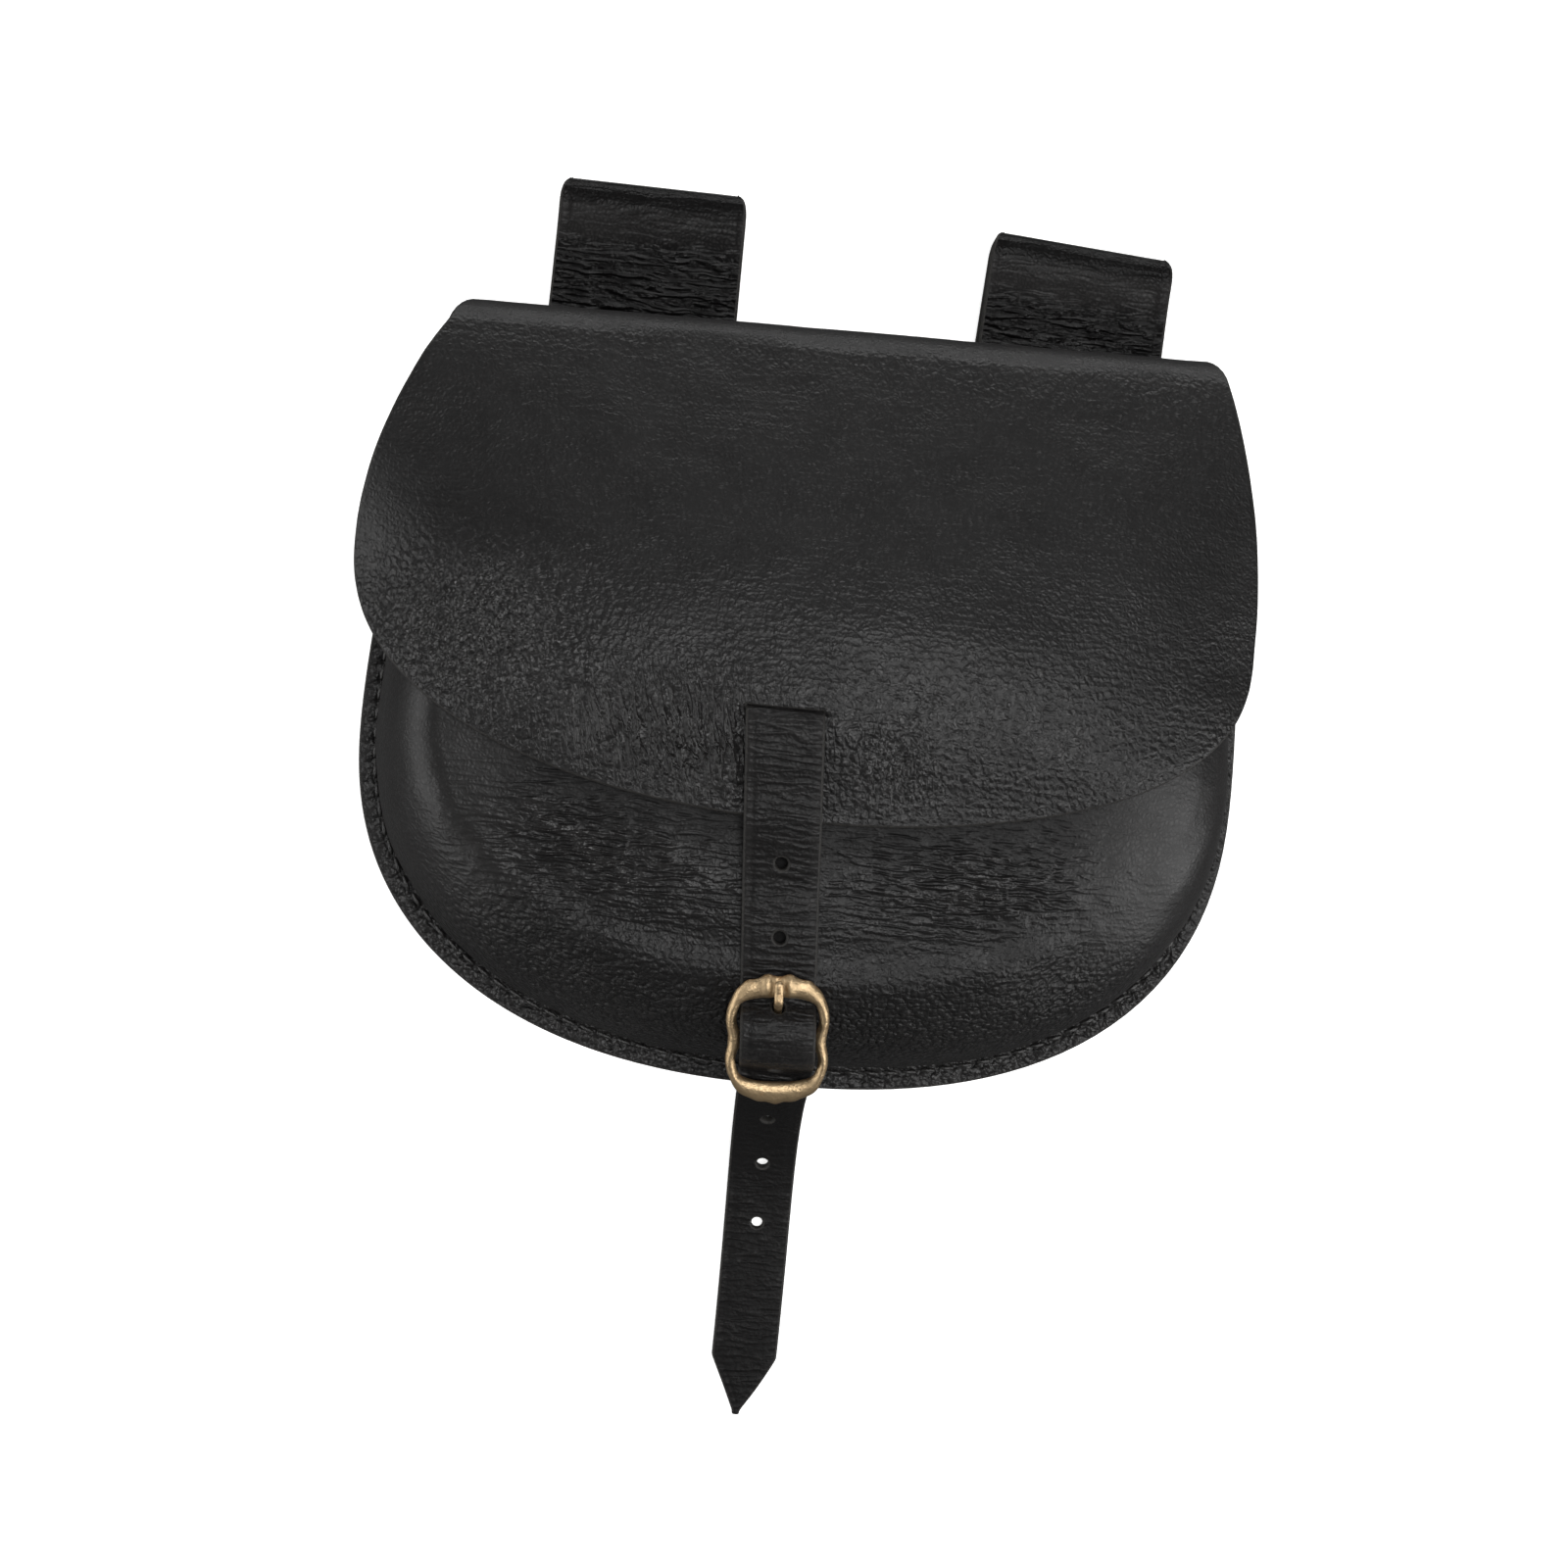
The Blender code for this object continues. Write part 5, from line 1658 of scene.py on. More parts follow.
        # The polish mask smooths the grain and lightens the colour as a painted highlight: along
        # the fold's top, beside the seam and over the gathers left of the strap.
        polished = on_flap * bell((y - 93.0) / 5.0) + near_seam * 0.4 + 0.6 * gathered
        masks = {
            "pebbled": np.clip(pebbled * on_flap + 0.9 * gathered, 0, 2.8),
            "creased": np.clip((0.18 + 0.22 * low) * on_flap * (1 - 0.8 * gathered), 0, 1),
            "wrinkled": np.clip(gathered * 1.4 + 0.25 * puckered, 0, 1.15),
            "polished": np.clip(polished, 0, 1),
        }
        return Sheet(
            middle,
            form.body_leather,
            relief + seam_marks,
            np.where(on_flap > 0, -0.6 * (relief - small), 0.0),
            rounding=0.55,
            left_out=self._slit(middle, first),
            lean=self._slit_lean(x, y, on_flap),
            masks=masks,
        ).geometry()

    def _under_strap(self, relief: Array, x: Array, y: Array, on_flap: Array) -> Array:
        """The relief pressed flat by the strap, and the slit's lip raised by it.

        Args:
            relief: The relief without the strap.
            x: Places across.
            y: Places along.
            on_flap: 1 on the flap, else 0.

        Returns:
            The relief with both.
        """
        form = self.form
        above = y - form.slit_y
        strap_off = np.abs(x - form.strap_aside(y)) - form.strap_width / 2
        pressed = (1 - ease(strap_off / self.press_reach)) * on_flap * (above < 1.0)
        lip = (1 - ramp(strap_off, -1.0, 6.0)) * ease(above) * bell((above - 1.0) / self.lip_reach)
        return relief * (1 - 0.8 * pressed) - self.press * pressed + self.lip * lip * on_flap

    def _slit_lean(self, x: Array, y: Array, on_flap: Array) -> Array:
        """Lean of the leather's cut at the slit, which follows the strap's climb."""
        form = self.form
        across = np.abs(x - form.strap_aside(form.slit_y)) - form.strap_width / 2
        slanted = (1 - ease(across / 9.0)) * bell((y - form.slit_y) / 4.5) * on_flap
        level = np.zeros_like(slanted)
        return np.stack([level, -slanted / math.tan(form.slit_climb), level], axis=-1)

    def _seam_marks(self, x: Array, y: Array, on_flap: Array) -> tuple[Array, Array]:
        """Marks of the stitches on the back panel's outer side, and where they are."""
        line = self.seam.outline(self.seam_steps)
        arc = arc_lengths(line)
        settled = np.stack(self.form.settled(line[:, 0], line[:, 1]), axis=-1)
        marks = np.zeros_like(x)
        near = np.zeros_like(x)
        back = (on_flap == 0) & (y < self.form.mouth_y)
        away = np.stack([x[back], y[back]], axis=-1)[:, None, :] - settled[None, :, :]
        distance = np.linalg.norm(away, axis=-1)
        nearest = np.argmin(distance, axis=1)
        inset = distance[np.arange(len(nearest)), nearest]
        row = self.seam.inset(line[nearest, 0])
        marks[back] = self.seam.relief(arc[nearest], inset, row)
        near[back] = bell((inset - row) / 3.0)
        return marks, near

    def _slit(self, middle: Array, first: int) -> Array:
        """Which cells are the slit: those inside the room that the strap needs."""
        form = self.form
        centre = 0.25 * (middle[:-1, :-1] + middle[1:, :-1] + middle[:-1, 1:] + middle[1:, 1:])
        y = centre[..., 1] - form.skew(centre[..., 0], centre[..., 1])
        inside = np.abs(y - form.slit_y) < self.slit_half
        inside &= np.abs(centre[..., 0] - form.strap_aside(form.slit_y)) < self.slit_reach
        inside[:first] = False
        return inside


@dataclass(frozen=True)
class FrontShell(LeatherPiece):
    """The moulded front: sewn flange, wall, ridge and face, in rings drawn in from its edge.

    Attributes:
        seam: The row of stitches through the flange.
        columns: How many points round the edge.
        flange_rows: How many rings on the flange.
        wall_rows: How many rings up the wall.
        face_rows: How many rings over the face.
        creases: Creases of the face.
        creased_left: Where they are on the left.
        creased_right: Where they are on the right.
        broad: The leather's broad waves.
        small: Its small unevenness.
        wavy: Waves round the wall.
        roll: How far the lower ridge stands out in a soft roll.
        roll_dip: How far the face dips inside that roll.
        shoulder_fall: How far the right shoulder has sunk at its ridge.
        slack: Over what distance inside the ridge it comes up again.
    """

    seam: Seam
    columns: int = 520
    flange_rows: int = 12
    wall_rows: int = 22
    face_rows: int = 36
    creases: Folds = Folds(21, 9.5, 3.3, 0.55, 0.36)
    creased_left: Patch = Patch(-50.0, -23.0, 26.0, 13.0)
    creased_right: Patch = Patch(37.0, -22.0, 26.0, 13.0)
    broad: Waves = Waves(22, 30.0, 24.0, 2, 0.45)
    small: Waves = Waves(23, 8.0, 6.0, 3, 0.075)
    wavy: Waves = Waves(24, 16.0, 7.0, 2, 0.16)
    roll: float = 0.62
    roll_dip: float = 0.32
    shoulder_fall: float = 5.0
    slack: float = 26.0

    def rings(self) -> tuple[Array, Array, Array]:
        """Each ring's distance inside the edge, share of the wall's run and share of the face."""
        flange, rest = self.flange_rows, self.wall_rows + self.face_rows
        width = self.form.flange_width
        flat = np.linspace(0.0, width, flange, endpoint=False)
        climb = np.linspace(0.0, 1.0, self.wall_rows, endpoint=False) ** 1.35
        over = np.linspace(0.0, 1.0, self.face_rows) ** 1.45
        inset = np.concatenate([flat, np.full(rest, width)])
        wall = np.concatenate([np.zeros(flange), climb, np.ones(self.face_rows)])
        face = np.concatenate([np.zeros(flange + self.wall_rows), over])
        return inset[:, None], wall[:, None], face[:, None]

    def surface(self, line: Array, inset: Array, wall: Array, face: Array) -> Array:
        """Middle of the leather.

        Args:
            line: Points of the body's edge.
            inset: Distance inside the edge on the flange.
            wall: Share of the wall's run.
            face: Share of the way from the ridge to the middle of the mouth.

        Returns:
            Points, one for each ring and edge point.
        """
        form = self.form
        distance, way = self.seam.inward(line)
        run = form.wall_run(line[:, 0], line[:, 1])
        reach = inset + run * wall
        reach = reach + (distance - reach) * face
        x, y = np.moveaxis(line + way * reach[..., None], -1, 0)
        base = form.flange_height(y) + form.shell_leather / 2
        top = form.face_height(x, y) - form.shell_leather / 2
        return np.stack([*form.settled(x, y), base + (top - base) * form.wall_rise(wall)], axis=-1)

    def build(self) -> Geometry:
        """The shell and its relief."""
        form, seam = self.form, self.seam
        line = seam.outline(self.columns)
        arc = arc_lengths(line)
        inset, wall, face = self.rings()
        middle = self.surface(line, inset, wall, face)
        x, y, z = np.moveaxis(middle, -1, 0)
        on_flange = (wall == 0) * np.ones_like(x)
        walled = ramp(inset, 4.5, 6.0) * np.ones_like(x)
        marks = seam.relief(arc, inset, seam.inset(line[:, 0])) * (1 - ease(wall / 0.05))
        left, right = self.creased_left.share(x, y), self.creased_right.share(x, y)
        down = ease((form.flap_edge_y + 4.0 - y) / 6.0)
        creases = self.creases.at(x + y * 19 / 60, y) * (left + right) * down
        broad = self.broad.at(x, y) * walled
        small = self.small.at(x, y) * walled
        wavy = self.wavy.at(arc + 0 * x, z + 0.4 * y) * walled
        off = self._off_ridge(line, wall, face)
        low = ramp(-y, 6.0, 20.0)
        side = ramp(np.abs(x), 50.0, 66.0) * ramp(y, -48.0, -26.0)
        rolled = self._roll(off, arc) * low * (1 - side) * walled
        relief = marks + creases + broad * 0.5 + small + wavy + rolled
        middle[..., 2] += 0.5 * broad * ease(wall * 3) - self._fall(x, y, off, wall) * walled
        # Painted shade: the matt-and-shade mask darkens and roughens the shell where shade falls,
        # under the strap, under the flap's edge and at the wall's foot. The foot's pebbles are the
        # leather's own.
        strap_off = np.abs(x - form.strap_aside(y)) - 0.38 * form.strap_width
        under_strap = (1 - ease(strap_off / 1.5)) * (y < form.flap_edge_y)
        flap_shadow = ease((y - form.flap_bottom(x) + 13.0) / 12.0)
        foot = low * bell((off + 15.0) / 12.0)
        dull = under_strap + (0.42 * flap_shadow + 0.25 * foot) * (1 - side)
        pebbled = (0.16 + 1.6 * foot) * (1 - side) + 0.55 * on_flange
        smooth = np.maximum(side, low * bell((off - 1.0) / 4.5))
        creased = np.clip(2.0 * left + 1.3 * right + 0.32, 0, 2.0)
        # On the side walls the polish mask lightens the colour as a painted highlight.
        masks = {
            "dull": np.clip(dull, 0, 1) * (1 - on_flange),
            "pebbled": np.clip(pebbled, 0, 2),
            "creased": creased * (1 - 0.8 * on_flange) * (1 - 0.7 * smooth),
            "polished": side * walled + 0.6 * on_flange,
        }
        flesh = -0.8 * (relief - small) * (1 - on_flange)
        return Sheet(middle, form.shell_leather, relief, flesh, 0.5, masks=masks).geometry()

    def _off_ridge(self, line: Array, wall: Array, face: Array) -> Array:
        """How far inside the ridge each point is, less than 0 on the wall."""
        distance, _ = self.seam.inward(line)
        run = self.form.wall_run(line[:, 0], line[:, 1])
        return run * (wall - 1) + (distance - run - self.form.flange_width) * face

    def _roll(self, off: Array, arc: Array) -> Array:
        """The soft roll of the ridge and the dip inside it, uneven along the edge."""
        uneven = 1 + 0.45 * Noise(25).plain(arc / 38, 0.5)
        roll = self.roll * bell((off + 2.5) / 3.2) - self.roll_dip * bell((off - 4.0) / 3.4)
        return roll * uneven

    def _fall(self, x: Array, y: Array, off: Array, wall: Array) -> Array:
        """How far the right shoulder has sunk.

        Args:
            x: Places across.
            y: Places along.
            off: How far inside the ridge they are.
            wall: Share of the wall's run.

        Returns:
            The most at the ridge, less and less inside it, and hardly more outside it.
        """
        turned = ramp(x, 40.0, 62.0) * ramp(y, -62.0, -38.0)
        beyond = 2.5 * (np.exp(np.minimum(off, 0.0) / 2.5) - 1)
        near = np.clip(1 - np.where(off > 0, off, beyond) / self.slack, 0.0, None)
        return turned * self.shoulder_fall * near**2 * ease(wall * 1.1)


@dataclass(frozen=True)
class BeltLoop(LeatherPiece):
    """A strip folded over at the top, its front layer passing up behind the back panel.

    Attributes:
        middle: Where its middle line crosses the fold.
        rise: How far it stands out past the fold.
        lean: How far it is turned.
        seed: Which wrinkles it has.
        fold_in: How far the front layer is drawn in towards the fold.
        fold_in_whole: Down to how far along it that is all of it.
        fold_in_ease: How softly it then begins to fade.
        fold_in_fade: Over about what length it fades out.
        flat_below: Height below which the leather has no relief.
        edge_line: The line along its edges.
        columns: How many points across.
        crowding: How much closer they are towards its edges.
        row_step: Distance between rows.
        run_steps: How many points of the path each straight run has.
        bend_steps: How many points the bend has.
    """

    middle: float
    rise: float
    lean: float
    seed: int
    fold_in: float = 2.9
    fold_in_whole: float = 5.0
    fold_in_ease: float = 4.0
    fold_in_fade: float = 19.5
    flat_below: float = 2.2
    edge_line: EdgeLine = EdgeLine(1.5, 0.42, 0.22)
    columns: int = 57
    crowding: float = 1.2
    row_step: float = 0.8
    run_steps: int = 50
    bend_steps: int = 25

    def path(self) -> tuple[Array, Array]:
        """Middle line in (y, z), and how far along the front layer each point is, or 0."""
        form = self.form
        wedge = (form.loop_leather + form.curved_touch) / form.loop_lift
        end = form.lift_length * (0.5 - math.sin(math.asin(1 - 2 * wedge) / 3))
        edge_x = self.middle + form.loop_width / 2
        turned = form.loop_width / 2 * math.tan(self.lean) + max(form.skew(edge_x, end), 0.0)
        radius = (form.belt_space + form.loop_leather) / 2
        top = form.fold_top + self.rise - radius - form.loop_leather / 2
        rear = form.loop_leather / 2
        up = np.linspace(end + turned, top, self.run_steps, endpoint=False)
        angles = np.linspace(0.0, math.pi, self.bend_steps)
        down = np.linspace(top, top - form.loop_front_length, self.run_steps)[1:]
        y = np.concatenate([up, top + radius * np.sin(angles), down])
        front = rear + 2 * radius
        z = np.concatenate([up * 0 + rear, rear + radius * (1 - np.cos(angles)), down * 0 + front])
        line = np.column_stack([y, z])
        arc = arc_lengths(line)
        rows = np.linspace(0.0, arc[-1], int(arc[-1] / self.row_step))
        past = np.clip(rows - arc[self.run_steps + self.bend_steps - 1], 0.0, None)
        return at_lengths(line, rows), past[:, None]

    def build(self) -> Geometry:
        """The loop and its relief."""
        form = self.form
        path, past = self.path()
        along, up = path[:, :1], path[:, 1:]
        near = np.clip(1 - (along.max() - along) / form.loop_corner, 0.0, 1.0)
        half = form.loop_width / 2 - form.loop_corner_in * (1 - np.sqrt(1 - near**2))
        shares = np.sin(np.linspace(-1, 1, self.columns) * self.crowding) / math.sin(self.crowding)
        across = half * shares
        x = self.middle + (along - form.fold_top) * math.tan(self.lean) + across
        y = along - across * math.tan(self.lean)
        under = form.back_height(y - form.skew(x, y)) - form.curved_touch - form.loop_leather / 2
        z = np.where(past > 0, np.minimum(up, under), up)
        opened = np.maximum(past - self.fold_in_whole, 0.0)
        eased = opened**2 / (opened + self.fold_in_ease)
        drawn_in = np.clip(1 - eased / self.fold_in_fade, 0.0, 1.0)
        z = z - self.fold_in * drawn_in * ramp(z, 2.0, 6.0)
        arc = arc_lengths(path)[:, None]
        edge_off = half - np.abs(across)
        front = ease(past / 3.0)
        low = front * ramp(past, 7.0, 16.0)
        waves = Waves(self.seed, 16.0, 5.0, 2, 0.20).at(across, arc)
        wrinkles = Folds(self.seed + 1, 11.0, 3.4, 0.6, 0.34).at(across + arc * 11 / 40, arc)
        small = Waves(self.seed + 2, 7.0, 6.0, 3, 0.07).at(across, arc)
        relief = (waves + wrinkles * low) * (0.25 + 0.75 * ramp(edge_off, 1.2, 3.7)) + small
        relief = relief + self.edge_line.at(edge_off) * (0.4 + 0.6 * front)
        relief = relief * np.where(past > 0, 1.0, 0.5) * (z > self.flat_below)
        # Painted light: the polish mask lightens the band below the fold as a painted highlight,
        # and the matt-and-shade mask darkens the lower, wrinkled part as painted shade.
        masks = {
            "pebbled": np.clip(0.25 * low + 0.12, 0, 1) + 0 * x,
            "creased": np.clip(0.10 + 1.0 * low, 0, 1.1) + 0 * x,
            "dull": 0.55 * low + 0.1 + 0 * x,
            "polished": 1.1 * (1 - low) * front + 0.3 * bell(edge_off / 1.2),
        }
        middle = np.stack([x, y, z], axis=-1)
        sheet = Sheet(middle, form.loop_leather, relief, -0.5 * relief, 0.6, masks=masks)
        return sheet.geometry()


@dataclass(frozen=True)
class ClosingStrap(LeatherPiece):
    """The closing strap, with its holes and its pointed tip.

    Attributes:
        hole_steps: How many rows and columns a hole's radius takes.
        ring_sizes: Radius of the grid's rings round a hole, in hole radii, from the hole's edge.
        ring_pulls: How far each of those rings is drawn into a circle.
        end_rows: Fewest rows between a hole and the strap's ends.
        tip: Half the width of its very tip.
        edge_line: The line along its edges.
        small: The leather's small unevenness.
        cross: Fine waves across the strap.
        worn_over: Between which distances past the tongue's hole it turns darker, rougher and more
            pebbled.
    """

    hole_steps: int = 3
    ring_sizes: tuple[float, ...] = (1.16, 1.45, 1.75, 2.03)
    ring_pulls: tuple[float, ...] = (1.0, 0.85, 0.5, 0.2)
    end_rows: int = 8
    tip: float = 0.45
    edge_line: EdgeLine = EdgeLine(1.25, 0.36, 0.20)
    small: Waves = Waves(41, 7.0, 9.0, 3, 0.07)
    cross: Waves = Waves(42, 14.0, 1.9, 2, 0.055)
    worn_over: tuple[float, float] = (20.0, 40.0)

    def grid(self, length: float, spot: float) -> tuple[Array, Array, Array]:
        """Where the strap's points are before its holes draw them in.

        Args:
            length: The strap's length.
            spot: Where along it the tongue's hole is.

        Returns:
            Lengths along it and distances aside, and half its width at each row.
        """
        form = self.form
        step = form.hole_radius / self.hole_steps
        rows = np.arange(-int(spot / step), int((length - spot) / step) + 1)
        s = (spot + rows * step)[:, None]
        last = int(form.strap_width / step) // 2
        shares = np.arange(-last, last + 1)[None, :] / last
        width = form.strap_width + (form.strap_end_width - form.strap_width) * ease(s / length)
        left = np.clip((length - s) / form.strap_point, 0.0, 1.0)
        half = np.maximum(width / 2 * (1 - (1 - left) ** 1.06), self.tip)
        return s + 0.0 * shares, half * shares, half

    def punched(self, s: Array, x: Array, spot: float) -> tuple[Array, Array, Array, Array]:
        """The grid drawn into circles round the holes.

        Args:
            s: Its points' lengths along the strap.
            x: Their distances aside.
            spot: Where along the strap the tongue's hole is.

        Returns:
            Both again, distances from the nearest hole's edge, and which cells are holes.
        """
        form, steps = self.form, self.hole_steps
        step = form.hole_radius / steps
        last = s.shape[1] // 2
        j = np.arange(-last, last + 1)[None, :]
        rings = steps + np.arange(len(self.ring_sizes))
        left_out = np.zeros((len(s) - 1, s.shape[1] - 1), bool)
        hole_off = np.full(s.shape, FAR)
        for number in range(-form.holes_above, form.holes_below + 1):
            centre = int(spot / step) + number * round(form.hole_pitch / step)
            if not self.end_rows <= centre < len(s) - self.end_rows:
                continue
            i = np.arange(len(s))[:, None] - centre + 0 * j
            far = np.maximum(np.abs(i), np.abs(j))
            sizes = np.interp(far, rings, self.ring_sizes)
            sizes = np.where(far < steps, far / steps * self.ring_sizes[0], sizes)
            out = sizes * form.hole_radius / np.maximum(np.hypot(i, j), TINY)
            pull = np.interp(far, rings, self.ring_pulls) * (far <= rings[-1])
            hole_s = spot + number * form.hole_pitch
            s = s + pull * (hole_s + out * i - s)
            x = x + pull * (out * j - x)
            hole_off = np.minimum(hole_off, np.hypot(s - hole_s, x) - form.hole_radius)
            left_out[centre - steps : centre + steps, last - steps : last + steps] = True
        return s, x, hole_off, left_out

    def build(self) -> Geometry:
        """The strap, its holes and its relief."""
        form = self.form
        path = form.strap_path()
        length = arc_lengths(path)[-1]
        spot = form.tongue_hole(path)
        s, x, half = self.grid(length, spot)
        s, x, hole_off, left_out = self.punched(s, x, spot)
        place = at_lengths(path, s)
        y, z = place[..., 0], place[..., 1]
        middle = np.stack([form.strap_aside(y) + x, y, z], axis=-1)
        edge_off = half - np.abs(x)
        relief = self.small.at(x, s) + self.cross.at(x, s) + self.edge_line.at(edge_off)
        relief = relief + 0.10 * bell(hole_off / 0.9) - 0.26 * bell(edge_off / 0.75)
        free = ramp(s - spot, *self.worn_over)
        # The polish mask lightens the strap's edges, and its run over the pouch, as a painted
        # highlight.
        masks = {
            "dull": 0.45 * free,
            "pebbled": 0.45 * free * ramp(edge_off, 1.5, 3.0) + 0.05,
            "creased": 0.35 * (1 - free) + 0.35 + 0.7 * ramp(s - length, -62.0, -48.0),
            "polished": np.clip(bell((edge_off - 0.5) / 0.7) + 0.35 * (1 - free), 0, 1),
        }
        sheet = Sheet(middle, form.strap_leather, relief, 0.0, 0.5, left_out, masks=masks)
        return sheet.geometry()


@dataclass(frozen=True)
class BucklePiece(Piece):
    """A piece of the buckle, cast or drawn in brass."""

    def dress(self) -> list[bpy.types.Material]:
        """Brass, browner low on its bars as painted shade."""
        return [finished(CastBrass(f"{self.slot}_cast"))]


@dataclass(frozen=True)
class BuckleFrame(BucklePiece):
    """Cast double frame: two lobes that meet at a waist, ridged bars, and a cranked middle bar.

    Attributes:
        steps: How many rings round the frame.
        sides: How many points round each ring.
        lobe_width: Width of the lobes' side bars.
        waist_width: Width of the side bars at the waist.
        knob: Height of the knobs on both sides of the tongue's notch.
        knob_at: How far from the middle they are.
        notch: Depth of the tongue's notch.
        shoulder: Height of the shoulders outside the knobs.
        shoulder_at: How far from the middle they are.
        scallop: Height of the waves of the bottom bar's crest.
        scallop_pitch: Distance between them.
        scallop_reach: How far from the middle they fade out.
        cast: Width of the casting's unevenness.
        bar_rings: How many rings the middle bar has.
        bar_sides: How many points round each of them.
    """

    steps: int = 260
    sides: int = 32
    lobe_width: float = 2.1
    waist_width: float = 2.7
    knob: float = 0.55
    knob_at: float = 2.3
    notch: float = 0.45
    shoulder: float = 0.45
    shoulder_at: float = 5.6
    scallop: float = 0.42
    scallop_pitch: float = 3.6
    scallop_reach: float = 6.5
    cast: float = 2.6
    bar_rings: int = 60
    bar_sides: int = 16

    def centre_line(self) -> tuple[Array, Array, Array]:
        """Middle of the frame's bars in its own plane, and how much of an end bar it is."""
        form = self.form
        turn = full_turn(self.steps)
        power = 2 / form.buckle_roundness
        along = np.sign(np.sin(turn)) * np.abs(np.sin(turn)) ** power
        across = np.sign(np.cos(turn)) * np.abs(np.cos(turn)) ** power
        y = along * form.buckle_arm
        reach = (form.buckle_width - form.side_bar_width) / 2
        x = across * (reach - form.buckle_waist * bell(y / form.buckle_waist_length))
        line = np.column_stack([x, y])
        closed = np.vstack([line, line[:1]])
        spots = np.linspace(0, arc_lengths(closed)[-1], self.steps, endpoint=False)
        x, y = at_lengths(closed, spots).T
        return x, y, ramp(np.abs(y) / form.buckle_arm, form.end_bar_from, 1.0)

    def build(self) -> Geometry:
        """The ring of bars, then the middle bar let into it."""
        form = self.form
        x, y, end = self.centre_line()
        waist = bell(y / 2.2)
        side = self.lobe_width + (self.waist_width - self.lobe_width) * waist
        width = side + (form.end_bar_width - side) * end
        top = end * (y > 0)
        bottom = end * (y < 0)
        crest = form.crest_height * bell(x / form.crest_reach)
        turn = 2 * math.pi * x / self.scallop_pitch
        waves = self.scallop * (0.5 + 0.5 * np.cos(turn)) * bell(x / self.scallop_reach)
        knobs = self.knob * self._pair(x, self.knob_at, 1.1) * top
        notch = self.notch * bell(x / 1.15) * top
        shoulders = self.shoulder * self._pair(x, self.shoulder_at, 0.9) * top
        outer = crest + waves * bottom + 1.1 * knobs - 0.5 * notch + shoulders
        line = np.stack([x, y], 1)
        forward = unit(np.roll(line, -1, axis=0) - np.roll(line, 1, axis=0))
        angle = full_turn(self.sides)
        cosine = np.sign(np.cos(angle)) * np.abs(np.cos(angle)) ** 0.85
        sine = np.sin(angle)
        outward = cosine * width[:, None] / 2 + outer[:, None] * np.maximum(cosine, 0.0)
        ridge = 1 - 0.22 * np.abs(np.cos(angle)) ** 1.2
        height = sine * form.frame_thickness / 2 * ridge
        lift = (knobs - notch)[:, None] * np.maximum(sine, 0.0)
        over, along = x[:, None] / self.cast + np.cos(angle), y[:, None] / self.cast + sine
        shake = Noise(51).layered(over, along, 2)
        section = np.zeros((self.steps, self.sides, 3))
        section[..., 0] = forward[:, None, 1] * (outward + 0.05 * shake)
        section[..., 1] = -forward[:, None, 0] * (outward + 0.05 * shake)
        section[..., 2] = height + lift + 0.04 * shake * np.sign(sine)
        centres = np.column_stack([x, y, 0 * x])
        ring = tube(centres, section, closed=True)
        ring.masks["hollow"] = self._patina_and_underside_shade(section, sine)
        both = ring.joined(self._middle_bar())
        both.points = form.to_buckle(both.points)
        return both

    @staticmethod
    def _pair(x: Array, middle: float, reach: float) -> Array:
        """Two bumps, one on each side."""
        return bell((x - middle) / reach) + bell((x + middle) / reach)

    def _patina_and_underside_shade(self, section: Array, sine: Array) -> Array:
        """Where the brass is brown: on the lower side of the bars, as painted shade, least on
        their ridge.
        """
        low = 0.75 - 0.75 * ease(sine * 1.3)
        inner = ease(0.3 - section[..., 2] / self.form.frame_thickness)
        values = np.clip(0.6 * low + 0.5 * inner, 0, 1)
        return np.concatenate([values, values[:1]]).ravel()

    def _middle_bar(self) -> Geometry:
        """The bar across the waist, cranked down where the strap passes over it."""
        form = self.form
        reach = (form.buckle_width - form.side_bar_width) / 2 - form.buckle_waist
        bend = form.middle_bar_crank
        corners = ((-reach, 0), (-reach + bend, -form.middle_bar_sink))
        corners += ((reach - bend, -form.middle_bar_sink), (reach, 0))
        line = np.array(corners, float)
        line = at_lengths(line, np.linspace(0, arc_lengths(line)[-1], self.bar_rings))
        kernel = np.ones(5) / 5
        padded = np.vstack([np.repeat(line[:1], 2, 0), line, np.repeat(line[-1:], 2, 0)])
        line = np.column_stack([np.convolve(padded[:, k], kernel, "valid") for k in (0, 1)])
        normal = path_normals(line)
        angle = full_turn(self.bar_sides)
        radius = form.middle_bar_radius
        section = np.zeros((len(line), self.bar_sides, 3))
        section[..., 0] = radius * np.sin(angle) * normal[:, :1]
        section[..., 1] = radius * np.cos(angle)
        section[..., 2] = radius * np.sin(angle) * normal[:, 1:]
        centres = np.column_stack([line[:, 0], 0 * line[:, 0], line[:, 1]])
        bar = tube(centres, section, closed=False)
        # The middle bar, down under the strap, gets a browner colour as painted shade.
        bar.masks["hollow"] = np.full(len(bar.points), 0.7)
        return bar


